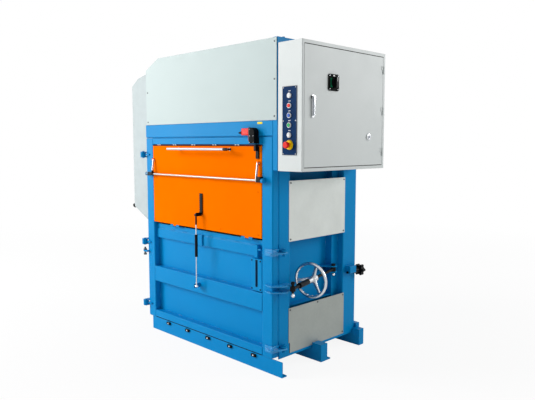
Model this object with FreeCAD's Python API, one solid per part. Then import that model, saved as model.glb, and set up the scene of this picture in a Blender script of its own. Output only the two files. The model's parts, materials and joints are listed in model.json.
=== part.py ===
import FreeCAD, Part
import math
import os

# Upright recycling baler, in millimetres, +Z up, standing on the floor at z = 0.
# The origin is on the floor, in the middle of the press body: X runs along the front,
# the loading side looks along -Y, and +X is the side with the control cabinet.

V = FreeCAD.Vector

# ---------------------------------------------------------------- driving sizes
body_width = 1390.0        # outside of the posts, left to right
body_depth = 860.0         # door face to rear face of the posts
beam_height = 100.0        # foot beams under the body
post_top = 2000.0          # top of the four posts
post_depth_x = 106.0       # posts, side to side
front_post_length = 103.0  # front posts, front to back
rear_post_length = 148.0   # rear posts, front to back
post_wall = 6.0
post_corner = 8.0
sheet = 5.0                # chamber walls

front_flange = 43.0        # front foot: an angle with its flange on the floor
middle_box = 65.0          # middle foot: a box on a wider foot plate
middle_flange = 98.0
rear_box = 54.0            # rear foot: a plain box
beam_wall = 7.0
beam_end_cap = 6.0         # plate that closes the right end of a box
beam_fold = 5.0            # bend radius of the foot beams
beam_left_inset = 50.0     # foot beams stop short of the left side
beam_right_reach = 84.0    # and stand out on the right
rear_beam_right_reach = 66.0
beam_end_top = 117.0       # raised right ends of the middle and rear feet
middle_beam_setback = 380.0
rear_beam_setback = 830.0
side_sill_bottom = 84.0    # lower edge strip of the right side
anchor_hole_radius = 7.0
anchor_from_end = 36.0

door_thickness = 53.0
door_gap = 4.0             # door to the body behind it
door_bottom = 104.0
door_top = 1505.0
door_post_width = 92.0
door_corner = 9.0
door_panel_sheet = 5.0
bottom_rail_top = 156.0
middle_rail_bottom = 392.0
middle_rail_top = 510.0
sill_bottom = 735.0
sill_top = 846.0
top_rail_height = 46.0
sill_rib_top = 813.0       # proud channel along the sill
sill_setback = 30.0        # sill face behind the door face
sill_rib_depth = 6.0
sill_rib_right = 167.0     # end of the channel, from the door's right edge
sill_gusset_left = 781.0   # upright plate in the middle of the channel
sill_gusset_right = 723.0

header_gap = 7.0           # door top to header
header_height = 95.0
hood_clearance = 50.0      # hood above the crosshead
hood_sheet = 2.5
hood_chamfer_x = 164.0     # sloped left shoulder of the hood
hood_chamfer_z = 78.0
hood_left_inset = 18.0
hood_right_reach = 34.0

side_cover_reach = 305.0   # left service cover, outwards from the body
side_cover_front = 75.0    # set back from the door face
side_cover_length = 690.0
side_cover_bottom = 795.0
side_cover_knee = 947.0
side_cover_shoulder = 1930.0
side_cover_top = 2035.0
side_cover_bend = 90.0     # flat part of the top before the shoulder

cabinet_gap = 43.0         # body side to the back of the control cabinet
cabinet_width = 197.0
cabinet_length = 842.0
cabinet_bottom = 1298.0
cabinet_top = 2065.0
cabinet_sheet = 3.0
cabinet_door_margin_z = 22.0
cabinet_door_margin_y = 15.0
cabinet_door_fold = 16.0
cabinet_seam = 3.0
cabinet_hinge_radius = 4.0
cabinet_lock_setback = 656.0
cabinet_lock_rise = 210.0  # round lock, above the cabinet's underside
cabinet_lock_radius = 22.0
switch_setback = 282.0
switch_drop = 230.0        # main switch, below the cabinet's top
switch_plate_half = 50.0
switch_shaft = 8.6
handle_setback = 84.0
handle_drop = 329.0        # door lever, below the cabinet's top
handle_shaft = 7.6
lever_length = 118.0
rail_width = 38.0          # cabinet mounting rails
rail_length = 44.0
rail_pitch = 740.0
rail_rise = 3.0            # rail ends above the hood
rail_tie_height = 60.0

strap_count = 5
strap_left_margin = 165.0  # first strap, from the left chamber wall
strap_right_margin = 63.0  # last strap, from the right one
strap_groove = 26.0
strap_groove_depth = 18.0

platen_rest = 1425.0       # underside of the platen, raised
platen_height = 110.0
platen_side_gap = 10.0
platen_wall = 12.0
platen_pocket_corner = 8.0
barrel_radius = 75.0
sleeve_radius = 55.0
piston_radius = 40.0
slide_clearance = 0.4
crosshead_seat = 50.0      # crosshead underside below the post tops
crosshead_height = 100.0
crosshead_length = 200.0
crosshead_wall = 10.0

hinge_out = 25.0           # door hinge axis, left of the body side
hinge_forward = 12.0       # and in front of the door face
hinge_heights = (198.0, 693.0, 1380.0)
hinge_barrel_radius = 22.0
hinge_barrel_half = 13.0
hinge_pin_radius = 8.0
hinge_plate = 8.0
hinge_head_radius = 10.0
hinge_strap_half = 7.0
thrust_height = 612.0      # plate with the levelling bolt on the door's left edge
thrust_plate = 12.0
hinge_arm_back = 71.0
pin_clearance = 0.1
axial_clearance = 1.0

flap_gap = 2.0
flap_sheet = 4.0
flap_fold = 26.0
flap_sill_gap = 17.0       # flap's lower edge above the sill
flap_head_gap = 7.0        # and its upper edge below the top rail
flap_axis_setback = 6.0
flap_axis_rise = 10.0
flap_knuckle_radius = 5.0
flap_pin_radius = 2.5
flap_hinge_places = (-337.0, 455.0)
flap_knuckle_length = 36.0
flap_leaf = 4.0

handle_radius = 8.5
handle_forward = 62.0
handle_drop_top = 25.0     # tube handle, below the flap's upper edge
handle_left = 370.0        # from the body's left side to the tube's end
handle_length = 662.0
handle_plug_length = 38.0
handle_plug_radius = 10.0

bar_radius = 7.0
bar_forward = 25.0
bar_drop = 108.0           # cross bar, below the pivots of its arms
bar_pivot_drop = 110.0     # pivots, below the flap's upper edge
bar_pivot_forward = 10.0
bar_overhang_left = 47.0   # bar end, inset from the body's left side
bar_overhang_right = 53.0

spring_offset = -23.0      # gas spring, left of the body's centre
spring_top_forward = 40.0
spring_top_rise = 102.0    # upper eye, above the flap's lower edge
spring_foot_forward = 42.0
spring_foot_rise = 63.0    # lower eye, above the middle rail's underside
spring_tube_radius = 10.5
spring_tube_start = 138.0  # along the strut from the upper eye
spring_tube_end = 298.0
spring_end_wall = 1.5      # closed end of the tube
spring_neck_radius = 6.2
spring_neck_end = 68.0
spring_link_radius = 5.0
spring_rod_start = 290.5   # inner end of the rod when the flap is shut
spring_rod_radius = 4.5
spring_collar_radius = 6.5
spring_eye_radius = 10.0
spring_eye_half = 5.5

lock_height = 553.0        # middle of the lock pin
lock_clevis_inset = 24.0   # clevis pin, inside the body side
lock_clevis_setback = 635.0
spindle_length = 544.0     # from lock pin to clevis pin, seen from above
spindle_rise = 29.0        # and from lock pin up to the clevis
engaged_angle = 8.6        # spindle to the body side when the pin is in its notch
release_angle = 2.4        # further out, the pin is clear of the notch
spindle_radius = 10.0
lock_pin_radius = 8.0
lock_eye_radius = 18.0
lock_eye_half = 15.0
fork_plate = 8.0
fork_gap = 32.0
notch_slack = 1.5
rod_travel = 10.0
wheel_radius = 123.0
wheel_rim_radius = 10.5
wheel_dish = 38.0
wheel_station = 224.0      # rim plane, from the lock pin
hub_radius = 24.0
hub_length = 46.0
sleeve_outer = 19.0
sleeve_front = 78.0        # front end of the long nut, from the lock pin
wheel_scallops = 18
wheel_spoke_phase = 67.0
spoke_widths = (18.0, 12.0, 12.5)   # half widths at the hub, halfway and at the rim
spoke_depths = (9.0, 7.0, 6.5)

recess_rib_width = 66.0
recess_rib_depth = 55.0

plate_thickness = 3.0
plate_edge = 147.0         # side plates, from the door face
plate_length = 577.0
upper_plate = (838.0, 1229.0)
lower_plate = (94.0 + 8.0, 401.0)
plate_notch = 12.0
foot_plate_thickness = 3.0

tank_reach = 240.0         # oil tank, outwards from the body
tank_bottom = 985.0
tank_height = 395.0
tank_lid = 8.0
tank_setback = 190.0
tank_length = 490.0
tank_shelf = 10.0
motor_inset = 125.0        # motor axis, outside the body
motor_setback = 330.0
motor_flange = 16.0
motor_radius = 78.0
motor_barrel = 236.0
motor_cowl = 60.0
motor_cowl_radius = 92.0
motor_fins = 24
valve_height = 60.0
coil_radius = 20.0
coil_height = 82.0

locator_heights = (780.0, 158.0)   # plates that centre the shut door
locator_setback = 76.0
locator_out = 26.0
locator_pin_radius = 7.0
locator_plate = 10.0
ear_radius = 20.0

rear_rib_count = 6
rear_rib_first = 130.0
rear_rib_pitch = 270.0
rear_rib_height = 80.0
rear_wall_setback = 60.0

knob_out = 25.0            # star knob's screw, right of the body
knob_setback = 775.0
knob_height = 549.0
knob_lobes = 6

interlock_inset = 206.0    # switch on the door's top rail, from the right side
interlock_drop = 41.0      # below and above the door's top
interlock_rise = 59.0
interlock_depth = 44.0

panel_left = 41.0          # control plate, from the cabinet's left side
panel_width = 115.0
panel_rise = 97.0          # control plate, above the cabinet's underside
panel_height = 407.0
panel_thickness = 3.0
button_rises = (352.0, 293.0, 235.5, 178.0, 119.5)
button_radius = 11.0
bezel_radius = 15.5
bezel_depth = 7.0
button_travel = 4.0
stop_rise = 61.0
stop_collar_radius = 30.0
stop_collar_depth = 10.0
stop_cap_radius = 20.0
stop_travel = 5.0

# ---------------------------------------------------------------- places from the sizes
left = -body_width / 2.0
right = body_width / 2.0
front = -body_depth / 2.0
rear = body_depth / 2.0
wall_left = left + post_depth_x
wall_right = right - post_depth_x
post_front = front + door_thickness + door_gap
chamber_front = post_front
rear_post_front = rear - rear_post_length
rear_wall_front = rear - rear_wall_setback
crosshead_bottom = post_top - crosshead_seat
hood_top = crosshead_bottom + crosshead_height + hood_clearance
door_back = front + door_thickness
door_inner_left = left + door_post_width
door_inner_right = right - door_post_width - 4.0
lock_x = right - lock_clevis_inset
lock_y = front + lock_clevis_setback
rest_angle = engaged_angle + release_angle
clevis_height = lock_height + spindle_rise
spindle_tilt = math.degrees(math.atan2(spindle_rise, spindle_length))
slope_length = math.hypot(spindle_length, spindle_rise)
spindle_turn = math.radians(rest_angle)
cabinet_left = right + cabinet_gap
cabinet_right = cabinet_left + cabinet_width
cabinet_rear = front + cabinet_length
hinge_x = left - hinge_out
hinge_y = front - hinge_forward
header_bottom = door_top + header_gap
header_top = header_bottom + header_height
window_top = door_top - top_rail_height
flap_bottom = sill_top + flap_sill_gap
flap_top = window_top - flap_head_gap
flap_axis_height = sill_top + flap_axis_rise
handle_height = flap_top - handle_drop_top
bar_pivot_height = flap_top - bar_pivot_drop
bar_height = bar_pivot_height - bar_drop
spring_top_height = flap_bottom + spring_top_rise
spring_foot_height = middle_rail_bottom + spring_foot_rise
tank_top = tank_bottom + tank_height
locator_x = right + locator_out
locator_y = front + locator_setback
interlock_x = right - interlock_inset
rail_top = hood_top + rail_rise
rail_places = (front + 2.0, front + 2.0 + rail_pitch)
panel_bottom = cabinet_bottom + panel_rise
panel_top = panel_bottom + panel_height
button_heights = tuple(panel_bottom + rise for rise in button_rises)
stop_height = panel_bottom + stop_rise
switch_y = front + switch_setback
switch_z = cabinet_top - switch_drop
handle_y = front + handle_setback
handle_z = cabinet_top - handle_drop


# ---------------------------------------------------------------- helpers
def block(x, y, z):
    """A box between low and high places on each axis."""
    return Part.makeBox(x[1] - x[0], y[1] - y[0], z[1] - z[0], V(x[0], y[0], z[0]))


def rod(radius, start, end):
    """A round bar from one point to another."""
    along = end - start
    return Part.makeCylinder(radius, along.Length, start, along)


def upright(radius, x, y, low, high):
    """A round bar that stands along Z."""
    return rod(radius, V(x, y, low), V(x, y, high))


def ring(outer, inner, start, end):
    return rod(outer, start, end).cut(rod(inner, start, end))


def prism(outline, axis, low, high):
    """A straight extrusion of an outline along X, Y or Z."""
    place = {"x": lambda a, b: V(low, a, b),
             "y": lambda a, b: V(a, low, b),
             "z": lambda a, b: V(a, b, low)}[axis]
    way = {"x": V(1, 0, 0), "y": V(0, 1, 0), "z": V(0, 0, 1)}[axis]
    points = [place(a, b) for a, b in outline]
    face = Part.Face(Part.makePolygon(points + points[:1]))
    return face.extrude(way * (high - low))


def joined(shapes):
    whole = shapes[0].multiFuse(shapes[1:]) if len(shapes) > 1 else shapes[0]
    return whole.removeSplitter()


def edges_along(shape, axis, test):
    """Straight edges that run along an axis and whose middle passes the test."""
    way = {"x": V(1, 0, 0), "y": V(0, 1, 0), "z": V(0, 0, 1)}[axis]
    chosen = []
    for edge in shape.Edges:
        if len(edge.Vertexes) == 2 and edge.Curve.TypeId == "Part::GeomLine":
            run = edge.Vertexes[1].Point - edge.Vertexes[0].Point
            if run.Length > 0.01 and abs(run.normalize().dot(way)) > 0.999:
                if test(edge.CenterOfMass):
                    chosen.append(edge)
    return chosen


def rounded(shape, radius, axis, test=lambda p: True):
    return shape.makeFillet(radius, edges_along(shape, axis, test))


def tube(x, y, z, wall, corner, axis="z"):
    """A rectangular hollow section with rounded outer corners."""
    outer = rounded(block(x, y, z), corner, axis)
    lengths = {"x": x, "y": y, "z": z}
    inner = {k: (v[0] + wall, v[1] - wall) for k, v in lengths.items()}
    inner[axis] = lengths[axis]
    return outer.cut(block(inner["x"], inner["y"], inner["z"]))


def group(shapes):
    return Part.makeCompound(shapes)


def save(node, shape):
    shape.exportStep("parts/%s.step" % node)


# ---------------------------------------------------------------- foot beams and frame
def foot_beam(web_y, box, plate, end_top, reach):
    """A foot: an angle when it has no box, else a box section on a floor plate."""
    x = (left + beam_left_inset, right + reach)
    depth = box if box > 0.0 else beam_wall
    upright = block(x, (web_y, web_y + depth), (0.0, beam_height))
    if box > 0.0:
        bore = block((x[0], x[1] - beam_end_cap), (web_y + beam_wall, web_y + box - beam_wall),
                     (beam_wall, beam_height - beam_wall))
        upright = upright.cut(bore)
        upright = rounded(upright, beam_fold, "x", lambda p: p.z > beam_height - 0.1)
    pieces = [upright]
    if plate > depth:
        pieces.append(block(x, (web_y, web_y + plate), (0.0, beam_wall + 1.0)))
    if end_top > beam_height:
        end_x = (right + plate_thickness + 2.0, x[1])
        pieces.append(block(end_x, (web_y, web_y + box), (beam_height - 12.0, end_top)))
    beam = joined(pieces)
    if plate > depth:
        hole_y = web_y + (depth + plate) / 2.0
        for hole_x in (x[0] + anchor_from_end, x[1] - anchor_from_end):
            beam = beam.cut(rod(anchor_hole_radius, V(hole_x, hole_y, -1), V(hole_x, hole_y, beam_wall + 2)))
    return beam


def post(x, y):
    return tube(x, y, (beam_height, post_top), post_wall, post_corner)


def foot_plate(x):
    """Thin plate under a front post that reaches forward onto the front beam."""
    return block((x[0] + 12.0, x[1] - 12.0), (front + 0.5, post_front + 30.0),
                 (beam_height, beam_height + foot_plate_thickness))


def hinge_lugs():
    """Two plates per hinge that hold the pin, above and below the door's barrel."""
    lugs = []
    for height in hinge_heights:
        for low in (height + hinge_barrel_half + axial_clearance,
                    height - hinge_barrel_half - axial_clearance - hinge_plate):
            span = (low, low + hinge_plate)
            arm = block((hinge_x - hinge_barrel_radius, left), (hinge_y, front + hinge_arm_back), span)
            nose = rod(hinge_barrel_radius, V(hinge_x, hinge_y, span[0]), V(hinge_x, hinge_y, span[1]))
            door_side = block((left - 2.0, left + 30.0), (hinge_y - 30.0, post_front),
                              (span[0] - 1, span[1] + 1))
            lug = arm.fuse(nose).cut(door_side)
            bore = rod(hinge_pin_radius + pin_clearance, V(hinge_x, hinge_y, span[0] - 1),
                       V(hinge_x, hinge_y, span[1] + 1))
            lugs.append(lug.cut(bore))
    return lugs


def locator_ears():
    """Ears on the right front post with the upright bolts that centre the shut door."""
    pieces = []
    for height in locator_heights:
        low = height + locator_plate / 2.0 + 2.0
        ear = rod(ear_radius, V(locator_x, locator_y, low), V(locator_x, locator_y, low + locator_plate))
        root = block((right - 1.0, locator_x), (locator_y - ear_radius + 4.0, locator_y + ear_radius),
                     (low, low + locator_plate))
        top = low + locator_plate
        bolt = upright(locator_pin_radius, locator_x, locator_y, height - 22.0, low + 4.0)
        head = upright(12.0, locator_x, locator_y, top, top + 9.0)
        nut = upright(11.0, locator_x, locator_y, height - 24.0, height - 14.0)
        pieces += [ear, root, bolt, head, nut]
    return pieces


def knob_block_place():
    return right + knob_out, front + knob_setback, knob_height


def build_frame():
    save("base_beam_front", foot_beam(front, 0.0, front_flange, 0.0, beam_right_reach))
    middle = foot_beam(front + middle_beam_setback, middle_box, middle_flange, beam_end_top,
                       beam_right_reach)
    save("base_beam_middle", middle)
    back = foot_beam(front + rear_beam_setback, rear_box, 0.0, beam_end_top,
                     rear_beam_right_reach)
    step = block((right - 30.0, right + 16.0), (rear + 0.5, rear + 38.0),
                 (beam_height - 8.0, beam_height + 48.0))
    save("base_beam_rear", joined([back, step]))

    front_y = (post_front, post_front + front_post_length)
    left_front = post((left, wall_left), front_y)
    save("front_post_left", joined([left_front, foot_plate((left, wall_left))] + hinge_lugs()))
    right_front = post((wall_right, right), front_y)
    save("front_post_right", joined([right_front, foot_plate((wall_right, right))] + locator_ears()))

    rear_y = (rear_post_front, rear)
    rear_left = post((left, wall_left), rear_y)
    rear_right = post((wall_right, right), rear_y)
    knob_x, knob_y, knob_z = knob_block_place()
    lug = block((right - 1.0, knob_x + 21.0), (knob_y - 35.0, knob_y + 35.0),
                (knob_z - 8.0, knob_z + 44.0))
    lug = rounded(lug, 6.0, "y", lambda p: p.x > right + 5.0)
    bore = rod(8.0 + slide_clearance, V(knob_x, knob_y - 40.0, knob_z), V(knob_x, knob_y + 40.0, knob_z))
    save("rear_posts", group([rear_left, joined([rear_right, lug]).cut(bore)]))


def build_chamber():
    """Floor with strap grooves, side walls with guide ribs, and the ribbed rear wall."""
    floor_low = beam_height
    slab = block((wall_left + sheet, wall_right - sheet), (chamber_front + 2.0, rear_wall_front),
                 (floor_low, floor_low + 30.0))
    grooves = [block((x - strap_groove / 2.0, x + strap_groove / 2.0), (front, rear_wall_front),
                     (floor_low + 30.0 - strap_groove_depth, floor_low + 40.0)) for x in strap_places()]
    save("floor_plate", slab.cut(group(grooves)))

    wall_top = crosshead_bottom + crosshead_height
    inner_front = post_front + front_post_length
    for side, x, outward in (("left", wall_left, -1.0), ("right", wall_right, 1.0)):
        plate_x = sorted((x, x - outward * sheet))
        wall = block(plate_x, (inner_front, rear_post_front), (beam_height, wall_top))
        rib_x = sorted((x, x + outward * recess_rib_depth))
        rear_rib = block(rib_x, (rear_post_front - recess_rib_width, rear_post_front),
                         (beam_height, post_top))
        front_rib = block(rib_x, (inner_front, inner_front + 22.0), (beam_height, post_top))
        ledges = [block(rib_x, (inner_front, rear_post_front), (z, z + 6.0))
                  for z in (lower_plate[1] - 10.0, upper_plate[0] + 4.0)]
        pieces = [wall, rear_rib, front_rib] + ledges
        pieces.append(block(rib_x, (inner_front, rear_post_front), (beam_height, beam_height + 6.0)))
        if side == "right":
            pieces += clevis_plates() + side_sill()
        save("side_wall_%s" % side, joined(pieces))

    wall = block((wall_left, wall_right), (rear_wall_front, rear_wall_front + sheet), (beam_height, wall_top))
    ribs = []
    for index in range(rear_rib_count):
        z = rear_rib_first + index * rear_rib_pitch
        rib = block((wall_left, wall_right), (rear_wall_front + sheet, rear - 2.0), (z, z + rear_rib_height))
        core = block((wall_left, wall_right), (rear_wall_front + sheet, rear - 2.0 - sheet),
                     (z + sheet, z + rear_rib_height - sheet))
        ribs.append(rib.cut(core))
    save("rear_wall", joined([wall] + ribs))


def side_sill():
    """Lower edge of the right side, between the feet."""
    middle = front + middle_beam_setback
    spans = ((post_front, middle - 2.0), (middle + middle_box + 2.0, front + rear_beam_setback - 2.0))
    strips = [block((right - 6.0, right), span, (side_sill_bottom, beam_height)) for span in spans]
    shelf = block((wall_right, right), (post_front + front_post_length, rear_post_front),
                  (beam_height, beam_height + 6.0))
    return strips + [shelf]


def strap_places():
    first = wall_left + strap_left_margin
    pitch = (wall_right - strap_right_margin - first) / (strap_count - 1)
    return [first + index * pitch for index in range(strap_count)]


def clevis_plates():
    """Three-cornered plates on the recess wall that hold the rear end of the lock."""
    plates = []
    for low in (clevis_height + lock_eye_half + axial_clearance,
                clevis_height - lock_eye_half - axial_clearance - fork_plate):
        outline = [(wall_right - 1.0, lock_y - 75.0), (lock_x + 4.0, lock_y - 20.0), (lock_x + 20.0, lock_y),
                   (lock_x + 14.0, lock_y + 26.0), (wall_right - 1.0, lock_y + 60.0)]
        plate = prism(outline, "z", low, low + fork_plate)
        bore = upright(lock_pin_radius + pin_clearance, lock_x, lock_y, low - 1, low + fork_plate + 1)
        plates.append(plate.cut(bore))
    return plates


def build_head():
    """Header beam over the door, crosshead that takes the press force, and the ram."""
    header = tube((left, right - 2.0), (front + 1.0, door_back), (header_bottom, header_top),
                  post_wall, 4.0, "x")
    stub = block((left + 20.0, wall_left), (door_back, post_front), (header_bottom, header_top))
    other = block((wall_right, right - 20.0), (door_back, post_front), (header_bottom, header_top))
    save("header_beam", joined([header, stub, other]))

    half = crosshead_length / 2.0
    span_x = (wall_left + sheet, wall_right - sheet)
    span_z = (crosshead_bottom, crosshead_bottom + crosshead_height)
    beam = block(span_x, (-half, half), span_z)
    core = block((span_x[0] + crosshead_wall, span_x[1] - crosshead_wall),
                 (-half + crosshead_wall, half - crosshead_wall),
                 (span_z[0] + crosshead_wall, span_z[1] - crosshead_wall))
    seat = ring(barrel_radius + 14.0, barrel_radius + 1.0, V(0, 0, span_z[0]), V(0, 0, span_z[1]))
    hole = rod(barrel_radius + 1.0, V(0, 0, span_z[0] - 1), V(0, 0, span_z[1] + 1))
    save("crosshead", joined([beam.cut(core).cut(hole), seat]))

    barrel_top = span_z[1]
    barrel_low = platen_rest + platen_height + 20.0
    barrel = rod(barrel_radius, V(0, 0, barrel_low), V(0, 0, barrel_top + 26.0))
    flange = rod(barrel_radius + 35.0, V(0, 0, barrel_top), V(0, 0, barrel_top + 22.0))
    gland = rod(barrel_radius + 6.0, V(0, 0, barrel_low), V(0, 0, barrel_low + 40.0))
    bore = rod(sleeve_radius + slide_clearance, V(0, 0, barrel_low - 1), V(0, 0, barrel_top - 10.0))
    save("cylinder_barrel", joined([barrel, flange, gland]).cut(bore))

    sleeve_low = barrel_low - 10.0
    sleeve_top = barrel_top - 30.0
    save("ram_sleeve", ring(sleeve_radius, piston_radius + slide_clearance,
                            V(0, 0, sleeve_low), V(0, 0, sleeve_top)))
    save("piston_rod", rod(piston_radius, V(0, 0, platen_rest + platen_wall), V(0, 0, sleeve_top - 20.0)))


def build_platen():
    """Pressing plate: a ribbed box with strap grooves underneath and guide shoes."""
    x = (wall_left + sheet + platen_side_gap, wall_right - sheet - platen_side_gap)
    y = (chamber_front + 8.0, rear_wall_front - 8.0)
    z = (platen_rest, platen_rest + platen_height)
    plate = block(x, y, z)
    for groove_x in strap_places():
        plate = plate.cut(block((groove_x - strap_groove / 2.0, groove_x + strap_groove / 2.0),
                                (y[0] - 1, y[1] + 1), (z[0] - 1, z[0] + strap_groove_depth)))
    pockets = []
    stops = [x[0]] + strap_places() + [x[1]]
    floor_z = z[0] + strap_groove_depth + platen_wall
    for low, high in zip(stops[:-1], stops[1:]):
        pocket = block((low + platen_wall, high - platen_wall), (y[0] + platen_wall, y[1] - platen_wall),
                       (floor_z, z[1] + 1))
        pockets.append(rounded(pocket, platen_pocket_corner, "z"))
    boss = rod(piston_radius + 22.0, V(0, 0, z[0] + platen_wall), V(0, 0, z[1] - 5.0))
    seat = rod(piston_radius, V(0, 0, z[0] + platen_wall), V(0, 0, z[1] + 1))
    plate = joined([plate.cut(group(pockets)), boss]).cut(seat)
    save("platen", plate)


# ---------------------------------------------------------------- covers
def hood_outline(inset, base):
    """Front view of the hood: square on the right, sloped shoulder on the left."""
    low_x = left + hood_left_inset + inset
    high_x = right + hood_right_reach - inset
    top = hood_top - inset
    return [(low_x, base), (high_x, base), (high_x, top), (low_x + hood_chamfer_x, top),
            (low_x, top - hood_chamfer_z)]


def build_covers():
    face = prism(hood_outline(0.0, header_top), "y", front - hood_sheet, door_back - 1.0)
    inside = prism(hood_outline(hood_sheet, header_top + hood_sheet), "y", front, door_back)
    rail_slot = block((right - 1.0, right + hood_right_reach + 5.0), (front, door_back),
                      (header_top, hood_top + 5.0))
    tray = face.cut(inside).cut(rail_slot)
    save("hood_front", tray)

    low_x = left + hood_left_inset
    slope = hood_chamfer_z / hood_chamfer_x
    skin = [(right, hood_top), (low_x + hood_chamfer_x, hood_top),
            (left, hood_top - hood_chamfer_z - hood_left_inset * slope), (left, post_top + 6.0),
            (left + hood_sheet, post_top + 6.0),
            (left + hood_sheet, hood_top - hood_chamfer_z - hood_left_inset * slope - 1.0),
            (low_x + hood_chamfer_x + 0.6, hood_top - hood_sheet), (right, hood_top - hood_sheet)]
    top = prism(skin, "y", door_back, rear)
    low_rear = header_top
    back_outline = [(left, low_rear), (right, low_rear), (right, hood_top), (low_x + hood_chamfer_x, hood_top),
                    (left, hood_top - hood_chamfer_z - hood_left_inset * slope)]
    back = prism(back_outline, "y", rear, rear + hood_sheet)
    save("hood_shell", joined([top, back]))

    save("left_cover", left_cover())

    screws_y = plate_edge + plate_length
    y = (front + plate_edge, front + screws_y)
    plates = []
    for low, high in (upper_plate, lower_plate):
        plates.append(rounded(block((right, right + plate_thickness), y, (low, high)), 3.0, "x"))
    corner = block((right - 1, right + plate_thickness + 1), (y[0] - 1, y[0] + plate_notch),
                   (lower_plate[0] - 1, lower_plate[0] + 68.0))
    plates[1] = plates[1].cut(corner)
    save("side_plates", group(plates))


def left_cover():
    """Folded sheet cover over the power unit, open towards the body."""
    def outline(inset):
        out = left - side_cover_reach + inset
        flat = left - side_cover_reach + side_cover_bend
        return [(left, side_cover_bottom + inset * 1.2), (out, side_cover_knee + inset * 0.5),
                (out, side_cover_shoulder - inset * 0.4), (flat, side_cover_top - 48.0 - inset),
                (left, side_cover_top - inset)]
    y = (front + side_cover_front, front + side_cover_front + side_cover_length)
    shell = prism(outline(0.0), "y", y[0], y[1])
    cavity = prism(outline(hood_sheet), "y", y[0] + hood_sheet, y[1] - hood_sheet)
    buffer_z = side_cover_knee - 4.0
    out = left - side_cover_reach
    stem = rod(6.0, V(out + 1.0, y[0] + 16.0, buffer_z + 8.0), V(out - 12.0, y[0] + 16.0, buffer_z + 8.0))
    knob = rod(13.0, V(out - 10.0, y[0] + 16.0, buffer_z + 8.0), V(out - 30.0, y[0] + 16.0, buffer_z + 8.0))
    return joined([shell.cut(cavity), stem, knob])


def build_power_unit():
    """Oil tank on the left posts with the upright motor and pump on its lid."""
    tank_y = (front + tank_setback, front + tank_setback + tank_length)
    lid_top = tank_top + tank_lid
    tank = block((left - tank_reach, left), tank_y, (tank_bottom, tank_top))
    tank = rounded(tank, 14.0, "z", lambda p: p.x < left - tank_reach / 2.0)
    lid = block((left - tank_reach - 10.0, left), (tank_y[0] - 10.0, tank_y[1] + 10.0), (tank_top, lid_top))
    shelf_y = (front + 110.0, front + 750.0)
    shelf = block((left - tank_reach, left), shelf_y, (tank_bottom - tank_shelf, tank_bottom))
    feet = [block((left - 6.0, left), (low, low + 36.0), (tank_bottom, tank_bottom + 115.0))
            for low in (shelf_y[0] + 2.0, shelf_y[1] - 36.0)]
    save("oil_tank", joined([tank, lid, shelf] + feet))

    motor_x = left - motor_inset
    motor_y = front + motor_setback
    barrel_low = lid_top + motor_flange
    barrel_top = barrel_low + motor_barrel
    base = upright(motor_radius + 10.0, motor_x, motor_y, lid_top, barrel_low)
    barrel = upright(motor_radius, motor_x, motor_y, barrel_low, barrel_top)
    fins = []
    for index in range(motor_fins):
        fin = block((motor_radius - 8.0, motor_radius + 12.0), (-1.5, 1.5),
                    (barrel_low + 16.0, barrel_top - 20.0))
        fin.rotate(V(0, 0, 0), V(0, 0, 1), index * 360.0 / motor_fins)
        fin.translate(V(motor_x, motor_y, 0))
        fins.append(fin)
    cowl = upright(motor_cowl_radius, motor_x, motor_y, barrel_top, barrel_top + motor_cowl)
    box = block((motor_x - 50.0, motor_x + 50.0), (motor_y + motor_radius - 3.0, motor_y + motor_radius + 47.0),
                (barrel_low + 76.0, barrel_low + 176.0))
    save("pump_motor", joined([base, barrel, cowl, box] + fins))

    valve_y = motor_y + motor_cowl_radius + motor_radius
    valve_top = lid_top + valve_height
    valve = block((motor_x - 60.0, motor_x + 60.0), (valve_y, valve_y + 120.0), (lid_top, valve_top))
    coils = [upright(coil_radius, motor_x, valve_y + 30.0 + 60.0 * index, valve_top, valve_top + coil_height)
             for index in range(2)]
    save("valve_block", joined([valve] + coils))


# ---------------------------------------------------------------- door
def build_door():
    z = (door_bottom, door_top)
    y = (front, door_back)
    save("door_post_left", tube((left, door_inner_left), y, z, post_wall, door_corner))
    save("door_post_right", tube((door_inner_right, right), y, z, post_wall, door_corner))

    x = (door_inner_left, door_inner_right)
    bands = ((door_bottom, bottom_rail_top), (middle_rail_bottom, middle_rail_top),
             (sill_bottom, sill_top), (window_top, door_top))
    sill_y = (front + sill_setback, door_back)
    rails = [tube(x, sill_y if band[0] == sill_bottom else y, band, post_wall, 4.0, "x") for band in bands]
    panels = [block(x, (door_back - door_panel_sheet, door_back), span)
              for span in ((bottom_rail_top, middle_rail_bottom), (middle_rail_top, sill_bottom))]
    stud_x = spring_offset - spring_eye_half - 0.5
    foot = V(stud_x, front - spring_foot_forward, spring_foot_height)
    stud_plate = block((stud_x - 14.0, stud_x - 8.0), (front - spring_foot_forward - 12.0, front + 1.0),
                       (spring_foot_height - 16.0, spring_foot_height + 16.0))
    stud_plate = rounded(stud_plate, 8.0, "x", lambda p: p.y < front - 30.0)
    stud = rod(5.0, foot - V(9.0, 0, 0), foot)
    save("door_rails", joined(rails + panels + [sill_rib(), stud_plate, stud] + hinge_leaves_door()))

    save("door_knuckles", door_knuckles())
    save("lock_forks", lock_forks())
    save("locating_plates", group([locating_plate(height) for height in locator_heights]))
    save("slot_plate", slot_plate())


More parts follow.
